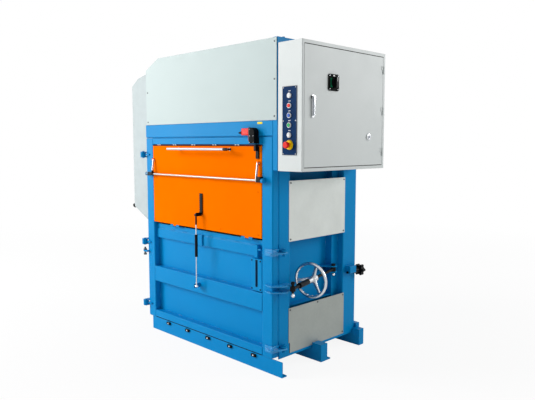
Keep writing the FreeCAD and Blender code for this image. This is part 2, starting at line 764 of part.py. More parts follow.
def sill_rib():
    """Channel along the sill, bevelled on top, with a gusset and an end plate with its bolt."""
    x = (door_inner_left, right - sill_rib_right)
    low = sill_bottom + 3.0
    base = front + sill_setback
    outline = [(base, low), (base - sill_rib_depth, low), (base - sill_rib_depth, sill_rib_top - 9.0),
               (base, sill_rib_top)]
    bar = prism(outline, "x", x[0], x[1])
    gusset = block((right - sill_gusset_left, right - sill_gusset_right), (base - 16.0, base),
                   (low, sill_rib_top + 2.0))
    end = block((x[1] - 2.0, x[1] + 27.0), (front + 2.0, base), (low - 2.0, sill_rib_top + 4.0))
    bolt_z = sill_rib_top - 26.0
    bolt = rod(7.0, V(x[1] + 26.0, front + 12.0, bolt_z), V(x[1] + 52.0, front + 12.0, bolt_z))
    return joined([bar, gusset, end, bolt])


def flap_axis():
    return V(0.0, front + flap_axis_setback, flap_axis_height)


def knuckle_span(centre_x, offset):
    """Ends of one knuckle of a flap hinge, with half a millimetre of play at each."""
    half = flap_knuckle_length / 2.0 - 0.5
    return centre_x + offset - half, centre_x + offset + half


def knuckle(span):
    axis = flap_axis()
    return rod(flap_knuckle_radius, V(span[0], axis.y, axis.z), V(span[1], axis.y, axis.z))


def hinge_leaves_door():
    """Door halves of the flap hinges: two knuckles on a leaf on the sill, and the fixed pin."""
    axis = flap_axis()
    pieces = []
    for x in flap_hinge_places:
        for offset in (-flap_knuckle_length, flap_knuckle_length):
            span = knuckle_span(x, offset)
            pieces.append(knuckle(span))
            pieces.append(block(span, (axis.y - 4.0, axis.y + 4.0), (sill_top, axis.z)))
            pieces.append(block(span, (axis.y - 4.0, front + sill_setback + 15.0),
                                (sill_top, sill_top + flap_leaf)))
        reach = 1.5 * flap_knuckle_length
        pieces.append(rod(flap_pin_radius, V(x - reach, axis.y, axis.z), V(x + reach, axis.y, axis.z)))
    return pieces


def door_knuckles():
    """Barrels on the door's left edge, each on a strap over the door face."""
    solids = []
    for height in hinge_heights:
        span = (height - hinge_barrel_half, height + hinge_barrel_half)
        barrel = rod(hinge_barrel_radius, V(hinge_x, hinge_y, span[0]), V(hinge_x, hinge_y, span[1]))
        strap = block((hinge_x, left + 46.0), (front - 10.0, front),
                      (height - hinge_strap_half, height + hinge_strap_half))
        strap = rounded(strap, 5.0, "y", lambda p: p.x > left)
        piece = joined([barrel, strap])
        bore = upright(hinge_pin_radius + pin_clearance, hinge_x, hinge_y, span[0] - 1, span[1] + 1)
        solids.append(piece.cut(bore))
    plate = block((hinge_x - 14.0, left + 22.0), (front - 24.0, front),
                  (thrust_height, thrust_height + thrust_plate))
    plate = rounded(plate, 10.0, "z", lambda p: p.y < front - 20.0 and p.x < left)
    bolt = upright(7.0, hinge_x, hinge_y, thrust_height - 26.0, thrust_height + 34.0)
    head = upright(11.0, hinge_x, hinge_y, thrust_height - 26.0, thrust_height - 14.0)
    solids.append(joined([plate, bolt, head]))
    return group(solids)


def engaged_pin():
    """Place of the lock pin when it lies in the notches."""
    turn = math.radians(engaged_angle)
    return V(lock_x + spindle_length * math.sin(turn), lock_y - spindle_length * math.cos(turn), lock_height)


def wrap_outline(reach_x, reach_y):
    """Plan of a plate that starts on the door face, goes round the corner and ends outboard."""
    return [(right - 62.0, front), (right - 62.0, front - 6.0), (right - 22.0, front - 24.0),
            (right + 6.0, front - 24.0), (reach_x - 8.0, front + 34.0), (reach_x, front + 62.0),
            (reach_x, reach_y), (right + 3.0, reach_y), (right + 3.0, door_back + 1.0),
            (right, door_back + 1.0), (right, front)]


def lock_forks():
    """Two hooked plates whose notches, open outwards, take the lock pin."""
    pin = engaged_pin()
    edge = pin.x + lock_pin_radius + notch_slack
    solids = []
    for low in (lock_height + fork_gap / 2.0, lock_height - fork_gap / 2.0 - fork_plate):
        plate = prism(wrap_outline(edge, pin.y + 24.0), "z", low, low + fork_plate)
        width = lock_pin_radius + notch_slack
        slot = block((pin.x, edge + 5.0), (pin.y - width - rod_travel, pin.y + width),
                     (low - 1, low + fork_plate + 1))
        pocket = block((pin.x - width, pin.x + 1), (pin.y - rod_travel, pin.y), (low - 1, low + fork_plate + 1))
        ends = [rod(width, V(pin.x, y, low - 1), V(pin.x, y, low + fork_plate + 1))
                for y in (pin.y, pin.y - rod_travel)]
        solids.append(plate.cut(slot).cut(pocket).cut(ends[0]).cut(ends[1]))
    return group(solids)


def locating_plate(height):
    """Plate round the door's corner with a notch, open backwards, for the upright bolt."""
    low = height - locator_plate / 2.0
    plate = prism(wrap_outline(locator_x + 19.0, locator_y + 16.0), "z", low, low + locator_plate)
    width = locator_pin_radius + 3.0
    slot = block((locator_x - width, locator_x + width), (locator_y, locator_y + 30.0),
                 (low - 1, low + locator_plate + 1))
    end = rod(width, V(locator_x, locator_y, low - 1), V(locator_x, locator_y, low + locator_plate + 1))
    plate = plate.cut(slot).cut(end)
    band = block((right - 62.0, right + 7.0), (front - 7.0, front), (low - 14.0, low + 30.0))
    side = block((right, right + 7.0), (front - 7.0, door_back - 1.0), (low - 14.0, low + 30.0))
    strap = rounded(joined([band, side]), 4.0, "z", lambda p: p.x > right + 6 and p.y < front - 6)
    return joined([plate, strap])


def slot_plate():
    """Folded cover with an upright slot, bolted beside the sill."""
    x = (door_inner_right - 98.0, door_inner_right - 1.0)
    z = (middle_rail_top + 8.0, sill_bottom - 8.0)
    cover = block(x, (front, door_back - door_panel_sheet), z)
    hollow = block((x[0] + 4.0, x[1] - 4.0), (front + 4.0, door_back), (z[0] + 4.0, z[1] - 4.0))
    cover = rounded(cover.cut(hollow), 5.0, "z", lambda p: p.y < front + 0.1 and not x[0] + 1 < p.x < x[1] - 1)
    slot_x = (x[0] + x[1]) / 2.0
    slot = block((slot_x - 6.0, slot_x + 6.0), (front - 1, front + 5), (z[0] + 30.0, z[1] - 10.0))
    return cover.cut(rounded(slot, 5.5, "y"))


# ---------------------------------------------------------------- flap
def build_flap():
    x = (door_inner_left + flap_gap, door_inner_right - flap_gap)
    z = (flap_bottom, flap_top)
    pan = block(x, (front, front + flap_fold), z)
    hollow = block((x[0] + flap_sheet, x[1] - flap_sheet), (front + flap_sheet, front + flap_fold + 1),
                   (z[0] + flap_sheet, z[1] - flap_sheet))
    pan = pan.cut(hollow)
    axis = flap_axis()
    pieces = [pan]
    for place in flap_hinge_places:
        span = knuckle_span(place, 0.0)
        neck = block(span, (axis.y - 4.0, axis.y + 4.0), (axis.z, flap_bottom + 1.0))
        bore = rod(flap_pin_radius + pin_clearance, V(span[0] - 1, axis.y, axis.z),
                   V(span[1] + 1, axis.y, axis.z))
        pieces.append(joined([knuckle(span), neck]).cut(bore))
    for pivot_x in bar_pivot_places():
        lug = block((pivot_x - 4.0, pivot_x + 4.0), (front - bar_pivot_forward - 8.0, front),
                    (bar_pivot_height - 10.0, bar_pivot_height + 10.0))
        bore = rod(4.0 + pin_clearance, V(pivot_x - 5, front - bar_pivot_forward, bar_pivot_height),
                   V(pivot_x + 5, front - bar_pivot_forward, bar_pivot_height))
        pieces.append(lug.cut(bore))
    save("flap_panel", joined(pieces))

    save("flap_handle", flap_handle())
    save("gas_bracket", gas_bracket())
    save("interlock_key", interlock_key())
    save("flap_bar", flap_bar())


def bar_pivot_places():
    return door_inner_left + 14.0, door_inner_right - 20.0


def flap_handle():
    """Tube handle on two stand-offs."""
    y = front - handle_forward
    start = left + handle_left
    end = start + handle_length
    grip = rod(handle_radius, V(start, y, handle_height), V(end, y, handle_height))
    plug = rod(handle_plug_radius, V(end - handle_plug_length, y, handle_height), V(end, y, handle_height))
    tip = rod(handle_plug_radius - 3.0, V(end - 1.0, y, handle_height), V(end + 22.0, y, handle_height))
    pieces = [grip, plug, tip]
    for x in (start + 60.0, end - 40.0):
        pieces.append(rod(8.0, V(x, front, handle_height), V(x, y, handle_height)))
        pieces.append(rod(10.5, V(x, front, handle_height), V(x, front - 5.0, handle_height)))
    return joined(pieces)


def gas_bracket():
    """Toothed strip on the flap with an ear for the top of the gas spring."""
    x = (spring_offset - 2.0, spring_offset + 28.0)
    z = (spring_top_height + 2.0, spring_top_height + 150.0)
    strip = block(x, (front - 8.0, front), z)
    teeth = []
    count = 9
    pitch = (z[1] - z[0]) / count
    for index in range(count):
        tooth_z = z[0] + (index + 0.5) * pitch
        for tooth_x in x:
            teeth.append(rod(4.0, V(tooth_x, front - 9.0, tooth_z), V(tooth_x, front + 1.0, tooth_z)))
    strip = strip.cut(group(teeth))
    ear_x = (spring_offset + spring_eye_half + 1.0, spring_offset + spring_eye_half + 7.0)
    ear = block(ear_x, (front - spring_top_forward - 9.0, front),
                (spring_top_height - 9.0, spring_top_height + 16.0))
    centre = V(spring_offset, front - spring_top_forward, spring_top_height)
    eye_side = centre - V(spring_eye_half, 0, 0)
    pin = rod(4.0, centre + V(spring_eye_half + 2.0, 0, 0), eye_side - V(4.0, 0, 0))
    head = rod(7.0, eye_side - V(7.0, 0, 0), eye_side - V(1.0, 0, 0))
    return joined([strip, ear, pin, head])


def interlock_key():
    """Actuator blade on the flap, under the switch head."""
    x = (interlock_x + 64.0, interlock_x + 88.0)
    blade = block(x, (front - 9.0, front), (flap_top - 83.0, flap_top - 8.0))
    tip = block((x[0] + 4.0, x[1] - 4.0), (front - 30.0, front - 4.0), (flap_top - 34.0, flap_top + 9.0))
    return joined([blade, rounded(tip, 5.0, "x", lambda p: p.y < front - 29.0)])


def flap_bar():
    """Cross bar on two swinging arms, with its clamp blocks and end knob."""
    y = front - bar_forward
    start = left + bar_overhang_left
    end = right - bar_overhang_right
    pieces = [rod(bar_radius, V(start, y, bar_height), V(end, y, bar_height))]
    for pivot_x, way in zip(bar_pivot_places(), (1.0, -1.0)):
        arm_x = sorted((pivot_x + way * 4.5, pivot_x + way * 9.5))
        outline = [(front - bar_pivot_forward - 6.0, bar_pivot_height + 6.5),
                   (front - bar_pivot_forward + 6.0, bar_pivot_height + 6.5),
                   (front - bar_pivot_forward + 6.0, bar_pivot_height - 6.5),
                   (y + 8.0, bar_height), (y - 8.0, bar_height - 6.0)]
        pieces.append(prism(outline, "x", arm_x[0], arm_x[1]))
        pieces.append(rod(4.0, V(pivot_x + way * 6.0, front - bar_pivot_forward, bar_pivot_height),
                          V(pivot_x - way * 7.0, front - bar_pivot_forward, bar_pivot_height)))
    low_pivot, high_pivot = bar_pivot_places()
    clamp = block((high_pivot + 6.0, high_pivot + 42.0), (y - 15.0, y + 15.0),
                  (bar_height - 12.0, bar_height + 24.0))
    pieces.append(rounded(clamp, 4.0, "x"))
    small = block((low_pivot - 22.0, low_pivot + 20.0), (y - 13.0, y + 13.0),
                  (bar_height - 12.0, bar_height + 14.0))
    pieces.append(rounded(small, 4.0, "x"))
    pieces.append(rod(15.0, V(start - 10.0, y, bar_height), V(start + 24.0, y, bar_height)))
    pieces.append(rod(15.0, V(end - 22.0, y, bar_height), V(end, y, bar_height)))
    return joined(pieces)


def build_gas_spring():
    """Strut between flap and door: the tube hangs from the flap, its rod points down."""
    top = V(spring_offset, front - spring_top_forward, spring_top_height)
    foot = V(spring_offset, front - spring_foot_forward, spring_foot_height)
    way = (foot - top).normalize()
    side = V(spring_eye_half, 0, 0)
    eye = ring(spring_eye_radius, 4.0 + pin_clearance, top - side, top + side)
    link = rod(spring_link_radius, top + way * (spring_eye_radius - 2.0), top + way * (spring_tube_start + 2.0))
    neck = rod(spring_neck_radius, top + way * (spring_eye_radius + 2.5), top + way * spring_neck_end)
    body = rod(spring_tube_radius, top + way * spring_tube_start, top + way * spring_tube_end)
    bore = rod(spring_rod_radius + slide_clearance, top + way * (spring_tube_start + spring_end_wall),
               top + way * (spring_tube_end + 1.0))
    save("gas_cylinder", joined([eye, neck, link, body]).cut(bore))

    length = (foot - top).Length
    eye = rod(spring_eye_radius, foot - side, foot + side)
    shaft = rod(spring_rod_radius, top + way * spring_rod_start, top + way * (length - 4.0))
    collar = rod(spring_collar_radius, top + way * (length - 28.0), top + way * (length - 13.0))
    save("gas_rod", joined([eye, shaft, collar]))


# ---------------------------------------------------------------- lock
def on_spindle(shape, sloped=False):
    """Puts a shape made along +Y from the lock pin onto the spindle at rest."""
    placed = shape.copy()
    if sloped:
        placed.rotate(V(0, 0, 0), V(1, 0, 0), spindle_tilt)
    placed.rotate(V(0, 0, 0), V(0, 0, 1), rest_angle)
    pin = V(lock_x + spindle_length * math.sin(spindle_turn),
            lock_y - spindle_length * math.cos(spindle_turn), lock_height)
    placed.translate(pin)
    return placed


def build_lock():
    """Swing lock: rear rod on the clevis, long nut with handwheel, front rod with its pin."""
    hub_mid = wheel_station + wheel_dish
    eye = rod(lock_eye_radius, V(0, spindle_length, spindle_rise - lock_eye_half),
              V(0, spindle_length, spindle_rise + lock_eye_half))
    rear_rod = rod(spindle_radius, V(0, hub_mid - 30.0, 0), V(0, slope_length - 8.0, 0))
    hub_end = hub_mid + hub_length / 2.0
    collar = rod(15.0, V(0, hub_end + 1.0, 0), V(0, hub_end + 13.0, 0))
    bore = rod(lock_pin_radius + pin_clearance, V(0, spindle_length, spindle_rise - 20.0),
               V(0, spindle_length, spindle_rise + 20.0))
    arm = joined([on_spindle(eye), on_spindle(rear_rod, True), on_spindle(collar, True)])
    save("lock_arm", arm.cut(on_spindle(bore)))

    save("handwheel", on_spindle(handwheel(hub_mid), True))

    front_eye = rod(lock_eye_radius, V(0, 0, -lock_eye_half), V(0, 0, lock_eye_half))
    screw = rod(spindle_radius, V(0, lock_eye_radius - 6.0, 0), V(0, sleeve_front + 90.0, 0))
    pin = rod(lock_pin_radius, V(0, 0, -46.0), V(0, 0, 46.0))
    head = rod(13.0, V(0, 0, 30.0), V(0, 0, 44.0))
    foot = Part.makeSphere(13.0, V(0, 0, -44.0))
    save("lock_rod", joined([on_spindle(joined([front_eye, pin, head, foot])), on_spindle(screw, True)]))

    top = clevis_height + lock_eye_half + axial_clearance + fork_plate
    bolt = rod(lock_pin_radius, V(lock_x, lock_y, clevis_height - 44.0), V(lock_x, lock_y, top + 4.0))
    head = rod(14.0, V(lock_x, lock_y, top), V(lock_x, lock_y, top + 14.0))
    ball = Part.makeSphere(13.0, V(lock_x, lock_y, clevis_height - lock_eye_half - fork_plate - 14.0))
    save("clevis_bolt", joined([bolt, head, ball]))


def handwheel(hub_mid):
    """Dished three-spoke wheel with a finger-scalloped rim, on the long nut."""
    rim_y = wheel_station
    ring_radius = wheel_radius - wheel_rim_radius
    rim = Part.makeTorus(ring_radius, wheel_rim_radius, V(0, rim_y, 0), V(0, 1, 0))
    scallops = []
    for index in range(wheel_scallops):
        turn = 2.0 * math.pi * index / wheel_scallops
        reach = ring_radius - wheel_rim_radius - 3.0
        place = V(reach * math.cos(turn), 0, reach * math.sin(turn))
        scallops.append(rod(8.0, place + V(0, rim_y - 12.0, 0), place + V(0, rim_y + 12.0, 0)))
    rim = rim.cut(group(scallops))
    nut_end = hub_mid + hub_length / 2.0
    hub = rod(hub_radius, V(0, hub_mid - hub_length / 2.0, 0), V(0, nut_end, 0))
    nut = rod(sleeve_outer, V(0, sleeve_front, 0), V(0, nut_end, 0))
    spokes = []
    for index in range(3):
        turn = math.radians(wheel_spoke_phase + 120.0 * index)
        out = V(math.cos(turn), 0, math.sin(turn))
        near = out * (hub_radius - 6.0) + V(0, hub_mid - 8.0, 0)
        far = out * (ring_radius - 2.0) + V(0, rim_y + 1.0, 0)
        spokes.append(spoke(near, far, out))
    wheel = joined([rim, hub, nut] + spokes)
    bore = rod(spindle_radius + slide_clearance, V(0, sleeve_front - 1, 0), V(0, nut_end + 1, 0))
    return wheel.cut(bore)


def spoke(near, far, out):
    """A spoke of oval section that narrows towards the rim."""
    along = (far - near).normalize()
    wide = along.cross(V(0, 1, 0)).normalize()
    sections = []
    for centre, major, minor in zip((near, (near + far) * 0.5, far), spoke_widths, spoke_depths):
        ellipse = Part.Ellipse(centre + wide * major, centre + along.cross(wide) * minor, centre)
        sections.append(Part.Wire(ellipse.toShape()))
    return Part.makeLoft(sections, True)


def build_star_knob():
    x, y, z = knob_block_place()
    face = rear + 3.0
    screw = rod(8.0, V(x, y - 44.0, z), V(x, face + 10.0, z))
    hub = rod(18.0, V(x, y + 35.3, z), V(x, face + 2.0, z))
    disc = rod(32.0, V(x, face, z), V(x, face + 34.0, z))
    lobes = []
    for index in range(knob_lobes):
        turn = 2.0 * math.pi * index / knob_lobes
        place = V(x + 33.0 * math.cos(turn), 0, z + 33.0 * math.sin(turn))
        lobes.append(rod(10.0, place + V(0, face + 2.0, 0), place + V(0, face + 32.0, 0)))
    save("star_knob", joined([screw, hub, disc] + lobes))


# ---------------------------------------------------------------- control cabinet
def button_x():
    return cabinet_left + panel_left + panel_width / 2.0


def build_cabinet():
    x = (cabinet_left, cabinet_right)
    y = (front, cabinet_rear)
    z = (cabinet_bottom, cabinet_top)
    shell = block(x, y, z)
    shell = rounded(shell, 5.0, "z", lambda p: p.x > x[0] + 1 or p.y < y[0] + 1)
    t = cabinet_sheet
    cavity = block((x[0] + t, x[1] - t), (y[0] + t, y[1] - t), (z[0] + t, z[1] - t))
    door_y = (y[0] + cabinet_door_margin_y, y[1] - cabinet_door_margin_y - 10.0)
    door_z = (z[0] + cabinet_door_margin_z, z[1] - cabinet_door_margin_z)
    mouth = block((x[1] - t - 1, x[1] + 1), door_y, door_z)
    holes = [rod(button_radius + 1.0, V(button_x(), y[0] - 1, height), V(button_x(), y[0] + t + 1, height))
             for height in button_heights + (stop_height,)]
    shell = shell.cut(cavity).cut(mouth).cut(group(holes))
    face = block((x[1] - t, x[1] + 1), (y[0] - 1, y[1] + 1), (z[0] - 1, z[1] + 1))
    save("cabinet_shell", shell.cut(face))
    save("cabinet_front_frame", joined([shell.common(face)] + cabinet_hinges(False)))

    seam = cabinet_seam
    leaf_y = (door_y[0] + seam, door_y[1] - seam)
    leaf_z = (door_z[0] + seam, door_z[1] - seam)
    leaf = block((x[1] - cabinet_door_fold, x[1]), leaf_y, leaf_z)
    inner = block((x[1] - cabinet_door_fold - 1, x[1] - 2.5), (leaf_y[0] + 2.5, leaf_y[1] - 2.5),
                  (leaf_z[0] + 2.5, leaf_z[1] - 2.5))
    leaf = leaf.cut(inner)
    lock_place = V(x[1], front + cabinet_lock_setback, z[0] + cabinet_lock_rise)
    lock = rod(cabinet_lock_radius, lock_place - V(2.0, 0, 0), lock_place + V(6.0, 0, 0))
    switch_hole = rod(9.0, V(x[1] - 5, switch_y, switch_z), V(x[1] + 1, switch_y, switch_z))
    handle_hole = rod(8.0, V(x[1] - 5, handle_y, handle_z), V(x[1] + 1, handle_y, handle_z))
    leaf = joined([leaf, lock] + cabinet_hinges(True))
    save("cabinet_door", leaf.cut(switch_hole).cut(handle_hole))

    half = switch_plate_half
    plate = block((x[1], x[1] + 7.0), (switch_y - half, switch_y + half), (switch_z - half, switch_z + half))
    plate = rounded(plate, 12.0, "x")
    plate = plate.cut(rod(9.0, V(x[1] - 1, switch_y, switch_z), V(x[1] + 8, switch_y, switch_z)))
    save("switch_plate", plate)
    base = rod(26.0, V(x[1] + 7.4, switch_y, switch_z), V(x[1] + 17.0, switch_y, switch_z))
    grip = block((x[1] + 12.0, x[1] + 36.0), (switch_y - 9.0, switch_y + 9.0),
                 (switch_z - 33.0, switch_z + 33.0))
    grip = rounded(grip, 5.0, "x")
    shaft = rod(switch_shaft, V(x[1] - 24.0, switch_y, switch_z), V(x[1] + 10.0, switch_y, switch_z))
    save("main_switch", joined([base, grip, shaft]))

    boss = rod(13.0, V(x[1] + 0.4, handle_y, handle_z), V(x[1] + 20.0, handle_y, handle_z))
    lever = prism([(handle_y - 11.0, handle_z + 12.0), (handle_y + 11.0, handle_z + 12.0),
                   (handle_y + 8.0, handle_z - lever_length), (handle_y - 8.0, handle_z - lever_length)],
                  "x", x[1] + 9.0, x[1] + 22.0)
    lever = rounded(lever, 4.0, "x")
    shaft = rod(handle_shaft, V(x[1] - 12.0, handle_y, handle_z), V(x[1] + 10.0, handle_y, handle_z))
    cam = block((x[1] - 12.0, x[1] - 8.0), (handle_y - 7.0, handle_y + 30.0),
                (handle_z - 7.0, handle_z + 7.0))
    save("cabinet_handle", joined([boss, lever, shaft, cam]))

    gear_x = x[0] + t
    board = block((gear_x, gear_x + 4.0), (y[0] + 90.0, y[1] - 70.0), (z[0] + 60.0, z[1] - 60.0))
    rows = []
    for row, height in enumerate((z[0] + 140.0, z[0] + 340.0, z[0] + 530.0)):
        rows.append(block((gear_x + 3.0, gear_x + 12.0), (y[0] + 110.0, y[1] - 90.0), (height, height + 35.0)))
        for index in range(5 - row):
            low = y[0] + 130.0 + index * 110.0
            rows.append(block((gear_x + 11.0, gear_x + 85.0), (low, low + 80.0),
                              (height - 25.0, height + 65.0)))
    save("switch_gear", joined([board] + rows))

    rails = [block((right, right + rail_width), (low, low + rail_length), (cabinet_bottom + 2.0, rail_top))
             for low in rail_places]
    tie_bottom = rail_top - rail_tie_height
    tie = block((right, right + rail_width), (rail_places[0] + rail_length, rail_places[1]),
                (tie_bottom, rail_top))
    spacers = [block((right + rail_width, cabinet_left), (low + 8.0, low + 36.0),
                     (cabinet_bottom + 30.0, tie_bottom - 8.0)) for low in rail_places]
    bolt = upright(9.0, right + 18.0, front + 74.0, rail_top, rail_top + 8.0)
    save("cabinet_rails", joined(rails + [tie, bolt] + spacers))


def cabinet_hinge_axis():
    rear_edge = cabinet_rear - cabinet_door_margin_y - 10.0 - cabinet_seam
    return cabinet_right + cabinet_hinge_radius + 0.4, rear_edge + cabinet_seam / 2.0


def cabinet_hinges(on_leaf):
    """Halves of the three door hinges: the frame half carries the pin, the leaf half the bore."""
    x, y = cabinet_hinge_axis()
    way = -1.0 if on_leaf else 1.0
    pieces = []
    middle = (cabinet_bottom + cabinet_top) / 2.0
    for height in (cabinet_bottom + 110.0, middle, cabinet_top - 110.0):
        low, high = (height + 0.5, height + 26.0) if on_leaf else (height - 26.0, height - 0.5)
        flat_y = sorted((y, y + way * 20.0))
        flat = block((cabinet_right, cabinet_right + 2.4), flat_y, (low, high))
        barrel = rod(cabinet_hinge_radius, V(x, y, low), V(x, y, high))
        if on_leaf:
            bore = rod(2.0 + pin_clearance, V(x, y, low - 1), V(x, y, high + 1))
            pieces.append(joined([flat, barrel]).cut(bore))
        else:
            pieces += [flat, barrel, rod(2.0, V(x, y, low), V(x, y, height + 24.0))]
    return pieces


def build_controls():
    y0 = front - panel_thickness
    x = (cabinet_left + panel_left, cabinet_left + panel_left + panel_width)
    plate = rounded(block(x, (y0, front), (panel_bottom, panel_top)), 5.0, "y")
    holes = [rod(button_radius + 1.0, V(button_x(), y0 - 1, height), V(button_x(), front + 1, height))
             for height in button_heights + (stop_height,)]
    save("control_plate", plate.cut(group(holes)))

    rings = []
    for height in button_heights:
        centre = V(button_x(), y0, height)
        rings.append(ring(bezel_radius, button_radius + 0.5, centre, centre - V(0, bezel_depth, 0)))
    lamp_centre = V(button_x(), y0, button_heights[0])
    lens = rod(button_radius + 0.5, lamp_centre, lamp_centre - V(0, bezel_depth + 2.0, 0))
    rings[0] = joined([rings[0], lens])
    collar_base = V(button_x(), y0, stop_height)
    collar = Part.makeCone(stop_collar_radius, stop_collar_radius - 4.0, stop_collar_depth, collar_base,
                           V(0, -1, 0))
    collar = collar.cut(rod(button_radius + 0.5, collar_base + V(0, 1, 0), collar_base - V(0, 15.0, 0)))
    save("button_bezels", group(rings + [collar]))

    names = ("button_red", "button_blue", "button_green", "button_white")
    for name, height in zip(names, button_heights[1:]):
        centre = V(button_x(), y0, height)
        cap = rod(button_radius, centre - V(0, bezel_depth + 4.0, 0), centre + V(0, -1.0, 0))
        cap = cap.makeFillet(1.5, [e for e in cap.Edges if e.CenterOfMass.y < centre.y - bezel_depth])
        save(name, cap)
    stem = rod(button_radius, collar_base - V(0, 24.0, 0), collar_base + V(0, -2.0, 0))
    top = collar_base - V(0, stop_collar_depth + stop_travel + 1.0, 0)
    mushroom = Part.makeCone(stop_cap_radius - 4.0, stop_cap_radius, 8.0, top, V(0, -1, 0))
    crown = rod(stop_cap_radius, top - V(0, 8.0, 0), top - V(0, 23.0, 0))
    crown = crown.makeFillet(6.0, [e for e in crown.Edges if e.CenterOfMass.y < top.y - 20.0])
    save("stop_button", joined([stem, mushroom, crown]))


def build_interlock():
    """Safety switch on the door's top rail: back plate, housing, gland and key head."""
    x0 = interlock_x
    low = door_top - interlock_drop
    high = door_top + interlock_rise
    deep = (front - interlock_depth, front - 4.0)
    foot = block((x0 - 4.0, x0 + 86.0), (front - 4.0, front), (low, door_top - 2.0))
    plate = rounded(block((x0 + 32.0, x0 + 41.0), deep, (low + 17.0, high)), 3.0, "y")
    housing = rounded(block((x0 - 33.0, x0 + 33.0), (deep[0] + 2.0, deep[1] - 4.0), (high - 48.0, high - 3.0)),
                      8.0, "x")
    gland = Part.makeCone(12.0, 5.0, 36.0, V(x0 - 33.0, front - 29.0, high - 31.0), V(-1, 0, 0))
    head = block((x0 + 39.0, x0 + 86.0), deep, (low, high))
    head = head.makeFillet(34.0, edges_along(head, "y", lambda p: p.x > x0 + 80.0 and p.z > high - 4.0))
    save("interlock_switch", joined([foot, plate, housing, gland, head]))


def build_small_frame_pieces():
    pins = []
    for height in hinge_heights:
        reach = hinge_barrel_half + axial_clearance + hinge_plate
        low = V(hinge_x, hinge_y, height - reach - 5.0)
        high = V(hinge_x, hinge_y, height + reach)
        head = rod(hinge_head_radius, high, high + V(0, 0, 5.0))
        foot = rod(hinge_head_radius, low, V(hinge_x, hinge_y, height - reach))
        pins.append(joined([rod(hinge_pin_radius, low, high), head, foot]))
    save("hinge_pins", group(pins))

    clips = []
    for x in strap_places():
        clip = block((x - 20.0, x + 20.0), (front - 12.0, front), (76.0, 94.0))
        throat = block((x - 12.0, x + 12.0), (front - 13.0, front - 3.0), (80.0, 90.0))
        roller = rod(3.5, V(x - 13.0, front - 7.0, 85.0), V(x + 13.0, front - 7.0, 85.0))
        clips.append(joined([clip.cut(throat), roller]))
    save("strap_guides", group(clips))


os.makedirs("parts", exist_ok=True)
build_frame()
build_chamber()
build_head()
build_platen()
build_covers()
build_power_unit()
build_door()
build_flap()
build_gas_spring()
build_lock()
build_star_knob()
build_cabinet()
build_controls()
build_interlock()
build_small_frame_pieces()
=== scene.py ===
import json
import math

import bmesh
import bpy
from mathutils import Matrix, Vector


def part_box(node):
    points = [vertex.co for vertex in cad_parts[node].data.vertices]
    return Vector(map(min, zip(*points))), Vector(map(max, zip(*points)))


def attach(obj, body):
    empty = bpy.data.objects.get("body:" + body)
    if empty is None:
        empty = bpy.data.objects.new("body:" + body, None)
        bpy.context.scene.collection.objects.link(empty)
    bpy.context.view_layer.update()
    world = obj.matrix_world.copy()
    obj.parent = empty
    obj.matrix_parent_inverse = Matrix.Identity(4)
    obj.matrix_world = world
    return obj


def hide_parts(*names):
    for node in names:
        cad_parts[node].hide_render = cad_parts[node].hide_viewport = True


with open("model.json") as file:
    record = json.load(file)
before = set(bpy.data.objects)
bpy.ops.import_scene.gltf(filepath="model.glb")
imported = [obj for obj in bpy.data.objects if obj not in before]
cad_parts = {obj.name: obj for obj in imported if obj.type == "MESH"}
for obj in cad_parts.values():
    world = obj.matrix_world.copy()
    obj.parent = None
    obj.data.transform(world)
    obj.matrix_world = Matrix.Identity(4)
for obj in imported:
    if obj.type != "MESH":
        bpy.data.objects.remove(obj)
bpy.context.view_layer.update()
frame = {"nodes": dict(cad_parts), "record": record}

# Looks of the upright recycling baler. Sizes are millimetres from the CAD part, turned to metres by
# mm(). The body's front face looks along -Y and the control cabinet stands on +X.
LEFT, RIGHT, FRONT, REAR = -695.0, 695.0, -430.0, 430.0

# door: inner edges of its side posts, its sunk lower skin, and the slot plate
DOOR_LEFT, DOOR_RIGHT = LEFT + 92.0, RIGHT - 96.0
DOOR_SKIN = FRONT + 48.0
SLOT_PLATE_LEFT, SLOT_PLATE_RIGHT = 497.0, 595.0
SLOT_MIDDLE = 549.5

# flap: right end of the grip tube, the bar across it, the safety switch's middle and the gas spring
HANDLE_END = LEFT + 370.0 + 662.0
BAR_START, BAR_END, BAR_HEIGHT = LEFT + 47.0, RIGHT - 53.0, 1235.0
INTERLOCK_X = RIGHT - 206.0
SPRING_TOP = (-23.0, FRONT - 40.0, 965.0)
SPRING_FOOT = (-23.0, FRONT - 42.0, 455.0)

# swing lock, shut: the clevis it swings on and the pin between the door's forks
PIN_HEIGHT = 553.0
CLEVIS = (RIGHT - 24.0, FRONT + 635.0, PIN_HEIGHT + 29.0)
REST_TURN = math.radians(11.0)
SPINDLE_LENGTH = 544.0
LOCK_PIN = (CLEVIS[0] + SPINDLE_LENGTH * math.sin(REST_TURN),
            CLEVIS[1] - SPINDLE_LENGTH * math.cos(REST_TURN), PIN_HEIGHT)

# control cabinet: its sides, its door's outer face, the control plate with its buttons, the switch
CABINET_LEFT = RIGHT + 43.0
CABINET_RIGHT = CABINET_LEFT + 197.0
LEAF_FACE = CABINET_RIGHT + 7.0
PLATE_LEFT, PLATE_RIGHT = CABINET_LEFT + 41.0, CABINET_LEFT + 156.0
PLATE_BOTTOM, PLATE_TOP = 1395.0, 1802.0
PLATE_FACE = FRONT - 3.0
BUTTON_X = PLATE_LEFT + 57.5
BUTTON_HEIGHTS = (1747.0, 1688.0, 1630.5, 1573.0, 1514.5)
SWITCH_Y, SWITCH_HEIGHT = FRONT + 282.0, 1835.0

# the Mix node's colour sockets, which share their names with its other sockets
MIX_FIRST, MIX_SECOND, MIX_RESULT = 6, 7, 2


def mm(*values):
    """Millimetres to a point in metres."""
    return Vector([value / 1000.0 for value in values])


